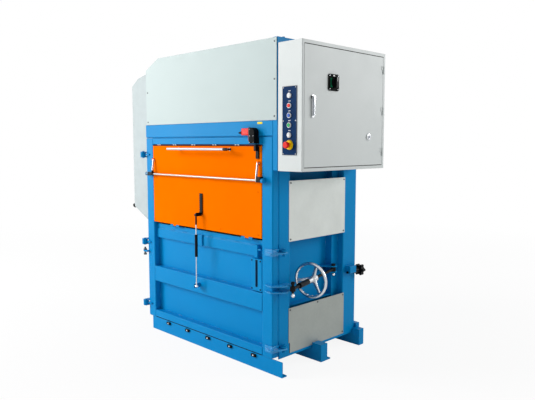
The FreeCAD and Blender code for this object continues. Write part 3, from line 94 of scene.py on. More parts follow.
def linear(code):
    """An sRGB hex colour as linear RGBA."""
    parts = [int(code[index:index + 2], 16) / 255.0 for index in (1, 3, 5)]
    return [p / 12.92 if p <= 0.04045 else ((p + 0.055) / 1.055) ** 2.4 for p in parts] + [1.0]


def add(tree, kind, inputs=None, **settings):
    """Adds a node with its settings; each input is a value or a socket to link."""
    node = tree.nodes.new(kind)
    for key, value in settings.items():
        setattr(node, key, value)
    for key, value in (inputs or {}).items():
        if isinstance(value, bpy.types.NodeSocket):
            tree.links.new(value, node.inputs[key])
        else:
            node.inputs[key].default_value = value
    return node


def new_material(name):
    """An empty node material with its shader, output and the object's own coordinates."""
    material = bpy.data.materials.new(name)
    material.use_nodes = True
    tree = material.node_tree
    tree.nodes.clear()
    shader = add(tree, "ShaderNodeBsdfPrincipled")
    add(tree, "ShaderNodeOutputMaterial", {"Surface": shader.outputs["BSDF"]})
    place = add(tree, "ShaderNodeTexCoord").outputs["Object"]
    return material, tree, shader, place


def grain(tree, place, size_mm, detail=2.0, stretch=None):
    """Noise whose blotches are about size_mm across, longer along an axis where stretch says so."""
    where = place
    if stretch:
        where = add(tree, "ShaderNodeMapping", {"Vector": place, "Scale": stretch}).outputs["Vector"]
    noise = add(tree, "ShaderNodeTexNoise", {"Vector": where, "Scale": 1000.0 / size_mm, "Detail": detail})
    return noise.outputs["Fac"]


def relief(tree, shader, height, depth_mm, edge_mm=0.0):
    """Bumps the surface, over edges that are softly rounded by edge_mm."""
    bump = add(tree, "ShaderNodeBump", {"Height": height, "Strength": 1.0, "Distance": depth_mm / 1000.0})
    if edge_mm > 0.0:
        soft = add(tree, "ShaderNodeBevel", {"Radius": edge_mm / 1000.0}, samples=4)
        tree.links.new(soft.outputs["Normal"], bump.inputs["Normal"])
    tree.links.new(bump.outputs["Normal"], shader.inputs["Normal"])


def blended(tree, factor, first, second, low=0.0, high=1.0):
    """A colour that runs from first to second as factor goes from low to high."""
    ramp = add(tree, "ShaderNodeValToRGB", {"Fac": factor})
    ramp.color_ramp.elements[0].position = low
    ramp.color_ramp.elements[1].position = high
    ramp.color_ramp.elements[0].color = first if len(first) == 4 else linear(first)
    ramp.color_ramp.elements[1].color = second if len(second) == 4 else linear(second)
    return ramp.outputs["Color"]


def sprayed_enamel(name, colour, shade, rough, sheen, peel_mm=5.0, edge_mm=2.5, painted_low_shade=None):
    """Enamel sprayed on welded steel: slow drifts of shade from the spray passes, a fine
    orange-peel surface, soft edges, and, when asked for, a painted shade: a darker blue in blotches on what
    stands low, strongest at the floor."""
    material, tree, shader, place = new_material(name)
    drift = grain(tree, place, size_mm=420.0, detail=3.0)
    paint = blended(tree, drift, colour, shade, low=0.3, high=0.72)
    # painted shade: a darker blue mixed in blotches, strongest at the floor and gone by 0.9 m
    if painted_low_shade:
        height = add(tree, "ShaderNodeSeparateXYZ", {"Vector": place}).outputs["Z"]
        low = add(tree, "ShaderNodeMapRange", {"Value": height, "From Min": 0.0, "From Max": 0.9,
                                               "To Min": 0.55, "To Max": 0.0}).outputs["Result"]
        shade_blotches = grain(tree, place, size_mm=90.0, detail=6.0)
        amount = add(tree, "ShaderNodeMath", {0: low, 1: shade_blotches}, operation="MULTIPLY").outputs["Value"]
        paint = add(tree, "ShaderNodeMix", {"Factor": amount, MIX_FIRST: paint, MIX_SECOND: linear(painted_low_shade)},
                    data_type="RGBA").outputs[MIX_RESULT]
    tree.links.new(paint, shader.inputs["Base Color"])
    smear = grain(tree, place, size_mm=130.0, detail=5.0)
    gloss = add(tree, "ShaderNodeMapRange", {"Value": smear, "To Min": rough - 0.06,
                                             "To Max": rough + 0.08})
    tree.links.new(gloss.outputs["Result"], shader.inputs["Roughness"])
    shader.inputs["IOR"].default_value = 1.5
    shader.inputs["Specular IOR Level"].default_value = sheen
    relief(tree, shader, grain(tree, place, peel_mm), 0.12, edge_mm)
    return material


# blue alkyd enamel: a clear mid blue whose gloss greys out towards the light, with painted shade low down: a
# darker blue in blotches towards the floor
BLUE_ENAMEL = sprayed_enamel("blue_enamel", "#008ACA", "#0085C5", 0.36, 0.07, painted_low_shade="#0080BA")
# the same blue laid on thick over small plates and weld beads: wet-looking, and painted a lighter blue as a
# highlight that brightens them and their edges
HIGHLIGHT_BLUE_ENAMEL = sprayed_enamel("blue_enamel_painted_highlight", "#0E93D2", "#0A8ECE", 0.26, 0.5, 6.0, 3.0)
# orange enamel on the thin feed flap: flat, very saturated
ORANGE_ENAMEL = sprayed_enamel("orange_enamel", "#FB7500", "#F87000", 0.5, 0.0, peel_mm=4.0, edge_mm=1.5)
# smooth powder coat on the hood sheets: cool near-white
HOOD_POWDER_COAT = sprayed_enamel("hood_powder_coat", "#BBC9C8", "#B9C7C6", 0.5, 0.25,
                                  peel_mm=2.5, edge_mm=1.5)
# fine-textured powder coat on the control cabinet
CABINET_POWDER_COAT = sprayed_enamel("cabinet_powder_coat", "#D3D9D8", "#CED4D3", 0.46, 0.4,
                                     peel_mm=1.6, edge_mm=2.0)


def worked_metal(name, colour, shade, rough, size_mm=40.0, depth_mm=0.05, stretch=None, edge_mm=1.0):
    """Bare or plated metal: two close tones in blotches or drawn lines, with the tool's fine relief."""
    material, tree, shader, place = new_material(name)
    tone = grain(tree, place, size_mm, 5.0, stretch)
    tree.links.new(blended(tree, tone, colour, shade, low=0.32, high=0.68), shader.inputs["Base Color"])
    gloss = add(tree, "ShaderNodeMapRange", {"Value": tone, "To Min": rough - 0.08,
                                             "To Max": rough + 0.08})
    tree.links.new(gloss.outputs["Result"], shader.inputs["Roughness"])
    shader.inputs["Metallic"].default_value = 1.0
    relief(tree, shader, tone, depth_mm, edge_mm)
    return material


# drawn and hard-chromed bar: bright, faint lines along the bar
CHROMED_BAR = worked_metal("chromed_bar", "#DADCDF", "#C4C8CC", 0.16, 6.0, 0.01, (0.06, 1.0, 1.0))
# bright zinc plating on turned pins: milky patches
ZINC_PLATED_STEEL = worked_metal("zinc_plated_steel", "#C9CCD0", "#AEB2B7", 0.32, 9.0, 0.03)
# mill steel, oiled: blue-grey scale blotches
MILL_STEEL = worked_metal("mill_steel", "#6E7276", "#585B5E", 0.46, 70.0, 0.08)
# sand-cast aluminium wheel, rim and spokes polished: soft bright with pits left from the sand
CAST_ALUMINIUM = worked_metal("cast_aluminium", "#E4E5E6", "#CFD1D2", 0.24, 5.0, 0.06, edge_mm=1.5)


def moulded_plastic(name, colour, shade, rough, sheen=0.5, size_mm=1.4, depth_mm=0.05, edge_mm=0.8):
    """Injection-moulded plastic: even colour, a spark-eroded grain and soft edges."""
    material, tree, shader, place = new_material(name)
    tone = grain(tree, place, size_mm=35.0, detail=3.0)
    tree.links.new(blended(tree, tone, colour, shade, low=0.3, high=0.7), shader.inputs["Base Color"])
    shader.inputs["Roughness"].default_value = rough
    shader.inputs["IOR"].default_value = 1.49
    shader.inputs["Specular IOR Level"].default_value = sheen
    relief(tree, shader, grain(tree, place, size_mm, 1.0), depth_mm, edge_mm)
    return material


# glass-filled nylon of knobs, arms and brackets: flat, nearly black
BLACK_NYLON = moulded_plastic("black_nylon", "#0C0D0F", "#08090B", 0.42, 0.1)
# strips, gaskets and stops, and the painted shade in the gap under the door, behind the strap slot and in screw
# sockets: dead matt black
BLACK_RUBBER_AND_SHADE = moulded_plastic("black_rubber_and_painted_shade", "#0E0D0D", "#090808", 0.62, 0.12, 2.2)
# button caps and the switch lid: clean signal colours with a soft shine
RED_CAP = moulded_plastic("red_cap", "#EE2417", "#E41E12", 0.3, 0.22, 3.0, 0.01)
BLUE_CAP = moulded_plastic("blue_cap", "#0A5CC2", "#0854B6", 0.3, 0.25, 3.0, 0.01)
GREEN_CAP = moulded_plastic("green_cap", "#00AA5C", "#00A054", 0.3, 0.25, 3.0, 0.01)
WHITE_CAP = moulded_plastic("white_cap", "#F2F3F3", "#EAECEC", 0.24, 0.4, 3.0, 0.01)
# a small patch of self-adhesive film on the header
YELLOW_FILM = moulded_plastic("yellow_film", "#F8E000", "#F5DA00", 0.34, 0.2, 2.5, 0.01)
# printed polyester film on the aluminium control plate: deep navy, fine pebble; the same navy fills the cabinet
# lock's key slot as painted shade
NAVY_FILM_AND_KEYHOLE_SHADE = moulded_plastic("navy_film_and_keyhole_shade", "#00305E", "#002A54", 0.42, 0.04, 1.2, 0.03)
# the flap's edge seals: rubber strips coloured the dark maroon of the gap above the flap, a painted shade with
# the flap's orange in it
GAP_SHADE_SEAL_RUBBER = moulded_plastic("seal_rubber_in_painted_gap_shade", "#5E2016", "#511A12", 0.6, 0.1, 2.2)
# engraved laminate behind the main switch: nearly black with a green cast
SWITCH_LAMINATE = moulded_plastic("switch_laminate", "#060C0A", "#040807", 0.55, 0.03, 1.2, 0.02)
# the green field of the main switch
GREEN_FILM = moulded_plastic("green_film", "#0E6E4A", "#0B6342", 0.36, 0.2, 1.2, 0.03)


def sheet_zinc():
    """Bare galvanised sheet: frozen spangle, a darker grey towards the bottom, below 0.84 m and darkest under
    0.4 m.
    """
    material, tree, shader, place = new_material("galvanised_sheet")
    spangle_mm = 14.0
    spangle = add(tree, "ShaderNodeTexVoronoi", {"Vector": place, "Scale": 1000.0 / spangle_mm})
    flake = add(tree, "ShaderNodeSeparateColor", {"Color": spangle.outputs["Color"]}).outputs["Red"]
    height = add(tree, "ShaderNodeSeparateXYZ", {"Vector": place}).outputs["Z"]
    rise = add(tree, "ShaderNodeMapRange", {"Value": height, "From Min": 0.4, "From Max": 0.84})
    tone = blended(tree, rise.outputs["Result"], "#A3A9A4", "#D3D8D4")
    drift = grain(tree, place, size_mm=240.0, detail=4.0)
    cloud = blended(tree, drift, "#F0F0F0", "#FFFFFF", low=0.3, high=0.7)
    mix = add(tree, "ShaderNodeMix", {"Factor": 1.0, MIX_FIRST: tone, MIX_SECOND: cloud},
              data_type="RGBA", blend_type="MULTIPLY")
    tree.links.new(mix.outputs[MIX_RESULT], shader.inputs["Base Color"])
    shader.inputs["Metallic"].default_value = 0.35
    gloss = add(tree, "ShaderNodeMapRange", {"Value": flake, "To Min": 0.42, "To Max": 0.56})
    tree.links.new(gloss.outputs["Result"], shader.inputs["Roughness"])
    relief(tree, shader, drift, 0.4, 1.0)
    return material


GALVANISED_SHEET = sheet_zinc()


def socket_values(colour, metallic, roughness):
    """A finish as three ramp values: its colour, and its metallic and roughness as greys."""
    return linear(colour), [metallic] * 3 + [1.0], [roughness] * 3 + [1.0]


def banded(name, axis, start_mm, bands, base=(0.0, 0.0, 0.0), above=None, sheen=0.12):
    """One piece of several finishes along a line. Bands are (end in mm, colour, metallic, roughness),
    measured from base along axis and starting at start_mm; above is (height in mm, colour, metallic,
    roughness) for all that stands higher."""
    material, tree, shader, place = new_material(name)
    from_base = add(tree, "ShaderNodeVectorMath", {0: place, 1: mm(*base)}, operation="SUBTRACT")
    along = add(tree, "ShaderNodeVectorMath", {0: from_base.outputs["Vector"], 1: Vector(axis)},
                operation="DOT_PRODUCT")
    reach = bands[-1][0] - start_mm
    share = add(tree, "ShaderNodeMapRange", {"Value": along.outputs["Value"], "From Min": start_mm / 1000.0,
                                             "From Max": bands[-1][0] / 1000.0}).outputs["Result"]
    finished = []
    for values in zip(*[socket_values(*band[1:]) for band in bands]):
        ramp = add(tree, "ShaderNodeValToRGB", {"Fac": share})
        ramp.color_ramp.interpolation = "CONSTANT"
        stops = ramp.color_ramp.elements
        stops[0].position = 0.0
        stops[0].color = values[0]
        stops.remove(stops[1])
        for before, value in zip(bands[:-1], values[1:]):
            stop = stops.new((before[0] - start_mm) / reach)
            stop.color = value
        finished.append(ramp.outputs["Color"])
    cloud = grain(tree, place, size_mm=60.0, detail=3.0)
    mottle = blended(tree, cloud, "#F8F8F8", "#FFFFFF", low=0.3, high=0.7)
    mix = add(tree, "ShaderNodeMix", {"Factor": 1.0, MIX_FIRST: finished[0], MIX_SECOND: mottle},
              data_type="RGBA", blend_type="MULTIPLY")
    finished[0] = mix.outputs[MIX_RESULT]
    if above:
        height = add(tree, "ShaderNodeSeparateXYZ", {"Vector": place}).outputs["Z"]
        higher = add(tree, "ShaderNodeMath", {0: height, 1: above[0] / 1000.0}, operation="GREATER_THAN")
        for number, value in enumerate(socket_values(*above[1:])):
            choice = add(tree, "ShaderNodeMix", {"Factor": higher.outputs["Value"], MIX_FIRST: finished[number],
                                                 MIX_SECOND: value}, data_type="RGBA")
            finished[number] = choice.outputs[MIX_RESULT]
    for socket, value in zip(("Base Color", "Metallic", "Roughness"), finished):
        tree.links.new(value, shader.inputs[socket])
    shader.inputs["Specular IOR Level"].default_value = sheen
    relief(tree, shader, grain(tree, place, size_mm=3.0), depth_mm=0.04, edge_mm=1.0)
    return material


# what a piece shows along its length: colour, metallic, roughness
BLACK = ("#0B0C0E", 0.0, 0.4)
BRIGHT = ("#DDE0E3", 1.0, 0.2)
TURNED = ("#DFE1E3", 1.0, 0.24)
PAINTED = ("#008BCC", 0.0, 0.42)
SPRING_WAY = (mm(*SPRING_FOOT) - mm(*SPRING_TOP)).normalized()
SPINDLE_WAY = (mm(*CLEVIS) - mm(*LOCK_PIN)).normalized()

# satin anodised grip tube with a matt black plug in its right end
HANDLE_FINISH = banded("handle_tube_and_plug", (1, 0, 0), LEFT,
                       [(HANDLE_END - 38.0, "#BEC3C4", 0.25, 0.34), (RIGHT, *BLACK)])
# bar of bare steel between black clamps, painted at its ends, with bright stays above; the steel's warm grey is
# a painted reflection of the orange flap
BAR_FINISH = banded("bar_knobs_and_clamps", (1, 0, 0), LEFT,
                    [(BAR_START + 24.0, "#5E7F97", 0.3, 0.35), (BAR_START + 79.5, *BLACK),
                     (BAR_END - 58.0, "#B0AAA4", 0.55, 0.3), (BAR_END - 21.0, *BLACK), (RIGHT, *PAINTED)],
                    above=(BAR_HEIGHT + 26.0, "#DADDE0", 0.5, 0.35))
# gas spring: black end piece, bright neck, then a tube in shiny black lacquer
SPRING_FINISH = banded("spring_tube_lacquer", SPRING_WAY, -20.0,
                       [(68.0, *BLACK), (138.0, *BRIGHT), (320.0, "#0A0B0D", 0.0, 0.3)], SPRING_TOP)
# safety switch: black gland, signal-red housing, dark grey joint plate, matt black head
INTERLOCK_FINISH = banded("interlock_housings", (1, 0, 0), RIGHT - 320.0,
                          [(INTERLOCK_X - 32.8, *BLACK), (INTERLOCK_X + 33.2, "#EE3020", 0.0, 0.4),
                           (INTERLOCK_X + 41.2, "#3A3F40", 0.3, 0.42), (RIGHT, "#070808", 0.0, 0.5)],
                          sheen=0.05)
# polished aluminium wheel on a blackened nut
WHEEL_FINISH = banded("wheel_and_black_nut", SPINDLE_WAY, 0.0,
                      [(186.0, "#1A1C1F", 0.6, 0.3), (330.0, "#CFD2D5", 1.0, 0.26)], LOCK_PIN)
# both bolts of the lock: a polished ball below, black oxide above
LOCK_ROD_FINISH = banded("lock_pin_black_above_ball", (0, 0, 1), PIN_HEIGHT - 60.0,
                         [(PIN_HEIGHT - 30.0, *TURNED), (PIN_HEIGHT + 60.0, *BLACK)])
CLEVIS_FINISH = banded("clevis_bolt_black_above_ball", (0, 0, 1), PIN_HEIGHT - 60.0,
                       [(PIN_HEIGHT - 2.0, *TURNED), (PIN_HEIGHT + 120.0, *BLACK)])
# shiny mouldings: the stop button's yellow collar below, the buttons' white rings above
BEZEL_FINISH = banded("yellow_collar_and_white_bezels", (0, 0, 1), 1400.0,
                      [(1490.0, "#FFD200", 0.0, 0.32), (1900.0, "#EFF1F1", 0.0, 0.24)])
# pale powder coat; what stands out on its far left is bare steel
COVER_FINISH = banded("cover_with_buffer", (1, 0, 0), LEFT - 345.0,
                      [(LEFT - 311.0, "#6E7276", 0.7, 0.4), (LEFT + 10.0, "#B7C1C2", 0.0, 0.5)])

FINISHES = {
    "blue_paint": BLUE_ENAMEL, "orange_paint": ORANGE_ENAMEL, "pale_paint": HOOD_POWDER_COAT,
    "cabinet_paint": CABINET_POWDER_COAT, "zinc_sheet": GALVANISED_SHEET, "dark_steel": MILL_STEEL,
    "polished_steel": CHROMED_BAR, "zinc_plated": ZINC_PLATED_STEEL, "cast_aluminium": CAST_ALUMINIUM,
    "black_plastic": BLACK_NYLON, "red_plastic": RED_CAP, "navy_plastic": NAVY_FILM_AND_KEYHOLE_SHADE,
    "blue_plastic": BLUE_CAP, "green_plastic": GREEN_CAP, "white_plastic": WHITE_CAP,
}
SPECIAL = {
    "flap_handle": HANDLE_FINISH, "flap_bar": BAR_FINISH, "gas_cylinder": SPRING_FINISH,
    "interlock_switch": INTERLOCK_FINISH, "handwheel": WHEEL_FINISH, "lock_rod": LOCK_ROD_FINISH,
    "clevis_bolt": CLEVIS_FINISH, "button_bezels": BEZEL_FINISH, "left_cover": COVER_FINISH,
    # forks, locating plates and hinge pins take the lighter blue, a painted highlight
    "lock_arm": BLACK_NYLON, "lock_forks": HIGHLIGHT_BLUE_ENAMEL, "locating_plates": HIGHLIGHT_BLUE_ENAMEL,
    "hinge_pins": HIGHLIGHT_BLUE_ENAMEL, "switch_plate": SWITCH_LAMINATE,
}
slot_of = {part["node"]: part["material_slot"] for part in frame["record"]["subparts"]}
for node, thing in frame["nodes"].items():
    finish = SPECIAL.get(node) or FINISHES[slot_of[node]]
    if not thing.data.materials:
        thing.data.materials.append(finish)
    for place in thing.material_slots:
        place.material = finish


# ---------------------------------------------------------------- camera, floor and light
# the photo's own view, solved from the body's edges: metres, degrees, millimetres of lens
camera_data = bpy.data.cameras.new("camera")
camera = bpy.data.objects.new("camera", camera_data)
camera.location = (3.1866, -2.9557, 1.4604)
camera.rotation_euler = [math.radians(angle) for angle in (84.476, 0.0, 45.126)]
camera_data.sensor_width = 36.0
camera_data.lens = 38.81
bpy.context.scene.collection.objects.link(camera)
bpy.context.scene.camera = camera


def seen(tree):
    """1 for the rays that show a backdrop: camera, glossy and transmission rays."""
    path = add(tree, "ShaderNodeLightPath").outputs
    first = add(tree, "ShaderNodeMath", {0: path["Is Camera Ray"], 1: path["Is Glossy Ray"]},
                operation="MAXIMUM").outputs["Value"]
    return add(tree, "ShaderNodeMath", {0: first, 1: path["Is Transmission Ray"]},
               operation="MAXIMUM").outputs["Value"]


WHITE = (1.0, 1.0, 1.0, 1.0)
AMBIENT = 0.38                          # how strongly the white room lights the object
FLOOR_PALENESS = 0.93
FLOOR_HALF = 40.0                       # metres
CLEARING = (2.0, 7.0)                   # metres from the middle where the floor turns clear white
NEAR_GLOW, FAR_GLOW = 0.90, 1.0         # the floor's own white near the object, the rest is lit

world = bpy.data.worlds.new("pale_room")
bpy.context.scene.world = world
world.use_nodes = True
room = world.node_tree
room.nodes.clear()
level = add(room, "ShaderNodeMapRange", {"Value": seen(room), "To Min": AMBIENT, "To Max": 1.0})
sky = add(room, "ShaderNodeBackground", {"Color": WHITE, "Strength": level.outputs["Result"]})
add(room, "ShaderNodeOutputWorld", {"Surface": sky.outputs["Background"]})

floor_material, floor_tree, floor_shader, floor_place = new_material("pale_floor")
floor_shader.inputs["Base Color"].default_value = [FLOOR_PALENESS] * 3 + [1.0]
floor_shader.inputs["Roughness"].default_value = 0.9
glow = add(floor_tree, "ShaderNodeEmission", {"Color": WHITE, "Strength": 1.0})
away = add(floor_tree, "ShaderNodeVectorMath", {0: floor_place}, operation="LENGTH").outputs["Value"]
clear = add(floor_tree, "ShaderNodeMapRange", {"Value": away, "From Min": CLEARING[0], "From Max": CLEARING[1],
                                               "To Min": NEAR_GLOW, "To Max": FAR_GLOW}).outputs["Result"]
share = add(floor_tree, "ShaderNodeMath", {0: seen(floor_tree), 1: clear}, operation="MULTIPLY")
both = add(floor_tree, "ShaderNodeMixShader", {0: share.outputs["Value"], 1: floor_shader.outputs["BSDF"],
                                               2: glow.outputs["Emission"]})
floor_out = [n for n in floor_tree.nodes if n.bl_idname == "ShaderNodeOutputMaterial"][0]
floor_tree.links.new(both.outputs["Shader"], floor_out.inputs["Surface"])

floor_mesh = bpy.data.meshes.new("floor")
floor_mesh.from_pydata([(FLOOR_HALF * x, FLOOR_HALF * y, 0) for x, y in ((-1, -1), (1, -1), (1, 1), (-1, 1))],
                       [], [(0, 1, 2, 3)])
floor = bpy.data.objects.new("floor", floor_mesh)
floor_mesh.materials.append(floor_material)
bpy.context.scene.collection.objects.link(floor)


def soft_box(name, where, target, size, watts):
    """A rectangular lamp in metres that looks at its target."""
    lamp = bpy.data.lights.new(name, "AREA")
    lamp.shape = "RECTANGLE"
    lamp.size, lamp.size_y = size
    lamp.energy = watts
    holder = bpy.data.objects.new(name, lamp)
    holder.location = where
    holder.rotation_euler = (Vector(target) - Vector(where)).to_track_quat("-Z", "Y").to_euler()
    bpy.context.scene.collection.objects.link(holder)


soft_box("front_soft_box", (-5.4, -5.8, 4.6), (0.0, -0.4, 1.3), (3.2, 2.8), 480.0)
soft_box("gloss_soft_box", (-4.6, -3.9, 1.7), (0.0, -0.4, 1.4), (2.0, 2.0), 95.0)
soft_box("side_soft_box", (4.6, 4.4, 3.1), (0.9, 0.0, 1.2), (2.4, 2.0), 140.0)


# ---------------------------------------------------------------- making pieces
def piece(name, mesh, finish, body):
    """A finished piece: its mesh in place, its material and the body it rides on."""
    if finish:
        mesh.materials.append(finish)
    made = bpy.data.objects.new(name, mesh)
    bpy.context.scene.collection.objects.link(made)
    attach(made, body)
    return made


def slabs(name, boxes, finish, body, corner=0.6):
    """Small plates with eased edges; boxes are low and high corners in millimetres."""
    whole = bmesh.new()
    for low, high in boxes:
        size = mm(*high) - mm(*low)
        place = Matrix.Translation((mm(*low) + mm(*high)) / 2.0) @ Matrix.Diagonal(size).to_4x4()
        made = bmesh.ops.create_cube(whole, size=1.0, matrix=place)
        edges = list({edge for vert in made["verts"] for edge in vert.link_edges})
        ease = min(corner / 1000.0, min(size) * 0.3)
        bmesh.ops.bevel(whole, geom=edges, offset=ease, segments=2, affect="EDGES")
    mesh = bpy.data.meshes.new(name)
    whole.to_mesh(mesh)
    whole.free()
    return piece(name, mesh, finish, body)


def turned(name, profile, base, way, finish, body, steps=28):
    """A lathe-turned piece: profile is (radius, height) in millimetres, up along way from base."""
    turn = Vector(way).to_track_quat("Z", "Y").to_matrix()
    whole = bmesh.new()
    rings = []
    for radius, height in profile:
        if radius < 0.01:
            rings.append([whole.verts.new(mm(*base) + turn @ mm(0.0, 0.0, height))])
            continue
        angles = [2.0 * math.pi * index / steps for index in range(steps)]
        rings.append([whole.verts.new(mm(*base) + turn @ mm(radius * math.cos(angle), radius * math.sin(angle),
                                                            height)) for angle in angles])
    for lower, upper in zip(rings[:-1], rings[1:]):
        for index in range(steps):
            after = (index + 1) % steps
            corners = [lower[index % len(lower)], lower[after % len(lower)], upper[after % len(upper)],
                       upper[index % len(upper)]]
            whole.faces.new(list(dict.fromkeys(corners)))
    bmesh.ops.recalc_face_normals(whole, faces=whole.faces)
    for face in whole.faces:
        face.smooth = True
    mesh = bpy.data.meshes.new(name)
    whole.to_mesh(mesh)
    whole.free()
    mesh.set_sharp_from_angle(angle=math.radians(35.0))
    return piece(name, mesh, finish, body)


def rule(name, sockets):
    """An empty Geometry Nodes tree with its named inputs."""
    tree = bpy.data.node_groups.new(name, "GeometryNodeTree")
    tree.interface.new_socket(name="Geometry", in_out="INPUT", socket_type="NodeSocketGeometry")
    for label, kind in sockets:
        tree.interface.new_socket(name=label, in_out="INPUT", socket_type="NodeSocket" + kind)
    tree.interface.new_socket(name="Geometry", in_out="OUTPUT", socket_type="NodeSocketGeometry")
    return tree, tree.nodes.new("NodeGroupInput").outputs


def grown(name, tree, start, values, body):
    """Runs a tree on a starting mesh and keeps the result as a plain mesh that rides on body."""
    seed = bpy.data.objects.new(name + "_start", start)
    bpy.context.scene.collection.objects.link(seed)
    modifier = seed.modifiers.new("rule", "NODES")
    modifier.node_group = tree
    for socket in tree.interface.items_tree:
        if socket.in_out == "INPUT" and socket.name in values:
            modifier[socket.identifier] = values[socket.name]
    depsgraph = bpy.context.evaluated_depsgraph_get()
    mesh = bpy.data.meshes.new_from_object(seed.evaluated_get(depsgraph))
    mesh.name = name
    bpy.data.objects.remove(seed)
    return piece(name, mesh, None, body)


# stitch welds: a run of overlapping ripples, then a gap, along every edge of the starting mesh
weld_rule, given = rule("stitch_weld", [("Ripple pitch", "Float"), ("Bead radius", "Float"),
                                        ("Ripples", "Int"), ("Gap", "Int"), ("Seed", "Int"),
                                        ("Finish", "Material")])
path = add(weld_rule, "GeometryNodeMeshToCurve", {"Mesh": given["Geometry"]}).outputs["Curve"]
fine = add(weld_rule, "GeometryNodeResampleCurve", {"Curve": path, "Length": given["Ripple pitch"]},
           mode="LENGTH").outputs["Curve"]
index = add(weld_rule, "GeometryNodeInputIndex").outputs["Index"]
period = add(weld_rule, "ShaderNodeMath", {0: given["Ripples"], 1: given["Gap"]},
             operation="ADD").outputs["Value"]
phase = add(weld_rule, "ShaderNodeMath", {0: index, 1: period}, operation="MODULO").outputs["Value"]
lit = add(weld_rule, "ShaderNodeMath", {0: phase, 1: given["Ripples"]}, operation="LESS_THAN").outputs["Value"]
bead = add(weld_rule, "GeometryNodeMeshIcoSphere", {"Radius": given["Bead radius"],
                                                    "Subdivisions": 2}).outputs["Mesh"]
uneven = add(weld_rule, "FunctionNodeRandomValue", {2: 0.8, 3: 1.12, "Seed": given["Seed"]}).outputs[1]
beads = add(weld_rule, "GeometryNodeInstanceOnPoints", {"Points": fine, "Selection": lit, "Instance": bead,
                                                        "Scale": uneven}).outputs["Instances"]
solid = add(weld_rule, "GeometryNodeRealizeInstances", {"Geometry": beads}).outputs["Geometry"]
smooth = add(weld_rule, "GeometryNodeSetShadeSmooth", {"Geometry": solid}).outputs["Geometry"]
coated = add(weld_rule, "GeometryNodeSetMaterial", {"Geometry": smooth, "Material": given["Finish"]})
add(weld_rule, "NodeGroupOutput", {0: coated.outputs["Geometry"]})


def welds(name, runs, body):
    """Stitch welds along runs of points in millimetres: 11 ripples, then a gap of 24."""
    verts, edges = [], []
    for run in runs:
        for number, point in enumerate(run):
            if number:
                edges.append((len(verts) - 1, len(verts)))
            verts.append(mm(*point))
    start = bpy.data.meshes.new(name + "_runs")
    start.from_pydata(verts, edges, [])
    # the beads take the lighter blue, a painted highlight
    values = {"Ripple pitch": 0.0042, "Bead radius": 0.0024, "Ripples": 11, "Gap": 24, "Seed": 7,
              "Finish": HIGHLIGHT_BLUE_ENAMEL}
    return grown(name, weld_rule, start, values, body)


# socket-head screws: one washer-faced head with a black hexagon, painted shade in its socket, on every
# starting point, made for a radius of 1 and scaled to each screw
screw_rule, given = rule("socket_screws", [("Head height", "Float"), ("Socket share", "Float"),
                                           ("Finish", "Material"), ("Socket shade finish", "Material")])
drum = add(screw_rule, "GeometryNodeMeshCylinder", {"Vertices": 20, "Radius": 1.0,
                                                    "Depth": given["Head height"]}).outputs["Mesh"]
crown = add(screw_rule, "GeometryNodeMeshCone", {"Vertices": 20, "Radius Bottom": 1.0, "Radius Top": 0.74,
                                                 "Depth": 0.28}).outputs["Mesh"]
half = add(screw_rule, "ShaderNodeMath", {0: given["Head height"], 1: 0.5},
           operation="MULTIPLY").outputs["Value"]
lift = add(screw_rule, "ShaderNodeCombineXYZ", {"Z": half}).outputs["Vector"]
raised = add(screw_rule, "GeometryNodeTransform", {"Geometry": crown, "Translation": lift})
head = add(screw_rule, "GeometryNodeJoinGeometry")
screw_rule.links.new(drum, head.inputs[0])
screw_rule.links.new(raised.outputs["Geometry"], head.inputs[0])
plated = add(screw_rule, "GeometryNodeSetMaterial", {"Geometry": head.outputs[0],
                                                     "Material": given["Finish"]}).outputs["Geometry"]
# painted shade: a thin black hexagon stands for the dark inside the socket
hexagon = add(screw_rule, "GeometryNodeMeshCylinder", {"Vertices": 6, "Radius": given["Socket share"],
                                                       "Depth": 0.1}).outputs["Mesh"]
top = add(screw_rule, "ShaderNodeMath", {0: half, 1: 0.27}, operation="ADD").outputs["Value"]
higher = add(screw_rule, "ShaderNodeCombineXYZ", {"Z": top}).outputs["Vector"]
sunk = add(screw_rule, "GeometryNodeTransform", {"Geometry": hexagon, "Translation": higher})
dark = add(screw_rule, "GeometryNodeSetMaterial", {"Geometry": sunk.outputs["Geometry"],
                                                   "Material": given["Socket shade finish"]})
screw = add(screw_rule, "GeometryNodeJoinGeometry")
screw_rule.links.new(plated, screw.inputs[0])
screw_rule.links.new(dark.outputs["Geometry"], screw.inputs[0])
axis = add(screw_rule, "GeometryNodeInputNamedAttribute", {"Name": "axis"}, data_type="FLOAT_VECTOR")
size = add(screw_rule, "GeometryNodeInputNamedAttribute", {"Name": "size"}, data_type="FLOAT")
facing = add(screw_rule, "FunctionNodeAlignRotationToVector", {"Vector": axis.outputs["Attribute"]}, axis="Z")
placed = add(screw_rule, "GeometryNodeInstanceOnPoints",
             {"Points": given["Geometry"], "Instance": screw.outputs[0], "Rotation": facing.outputs["Rotation"],
              "Scale": size.outputs["Attribute"]}).outputs["Instances"]
solid = add(screw_rule, "GeometryNodeRealizeInstances", {"Geometry": placed}).outputs["Geometry"]
add(screw_rule, "NodeGroupOutput", {0: solid})


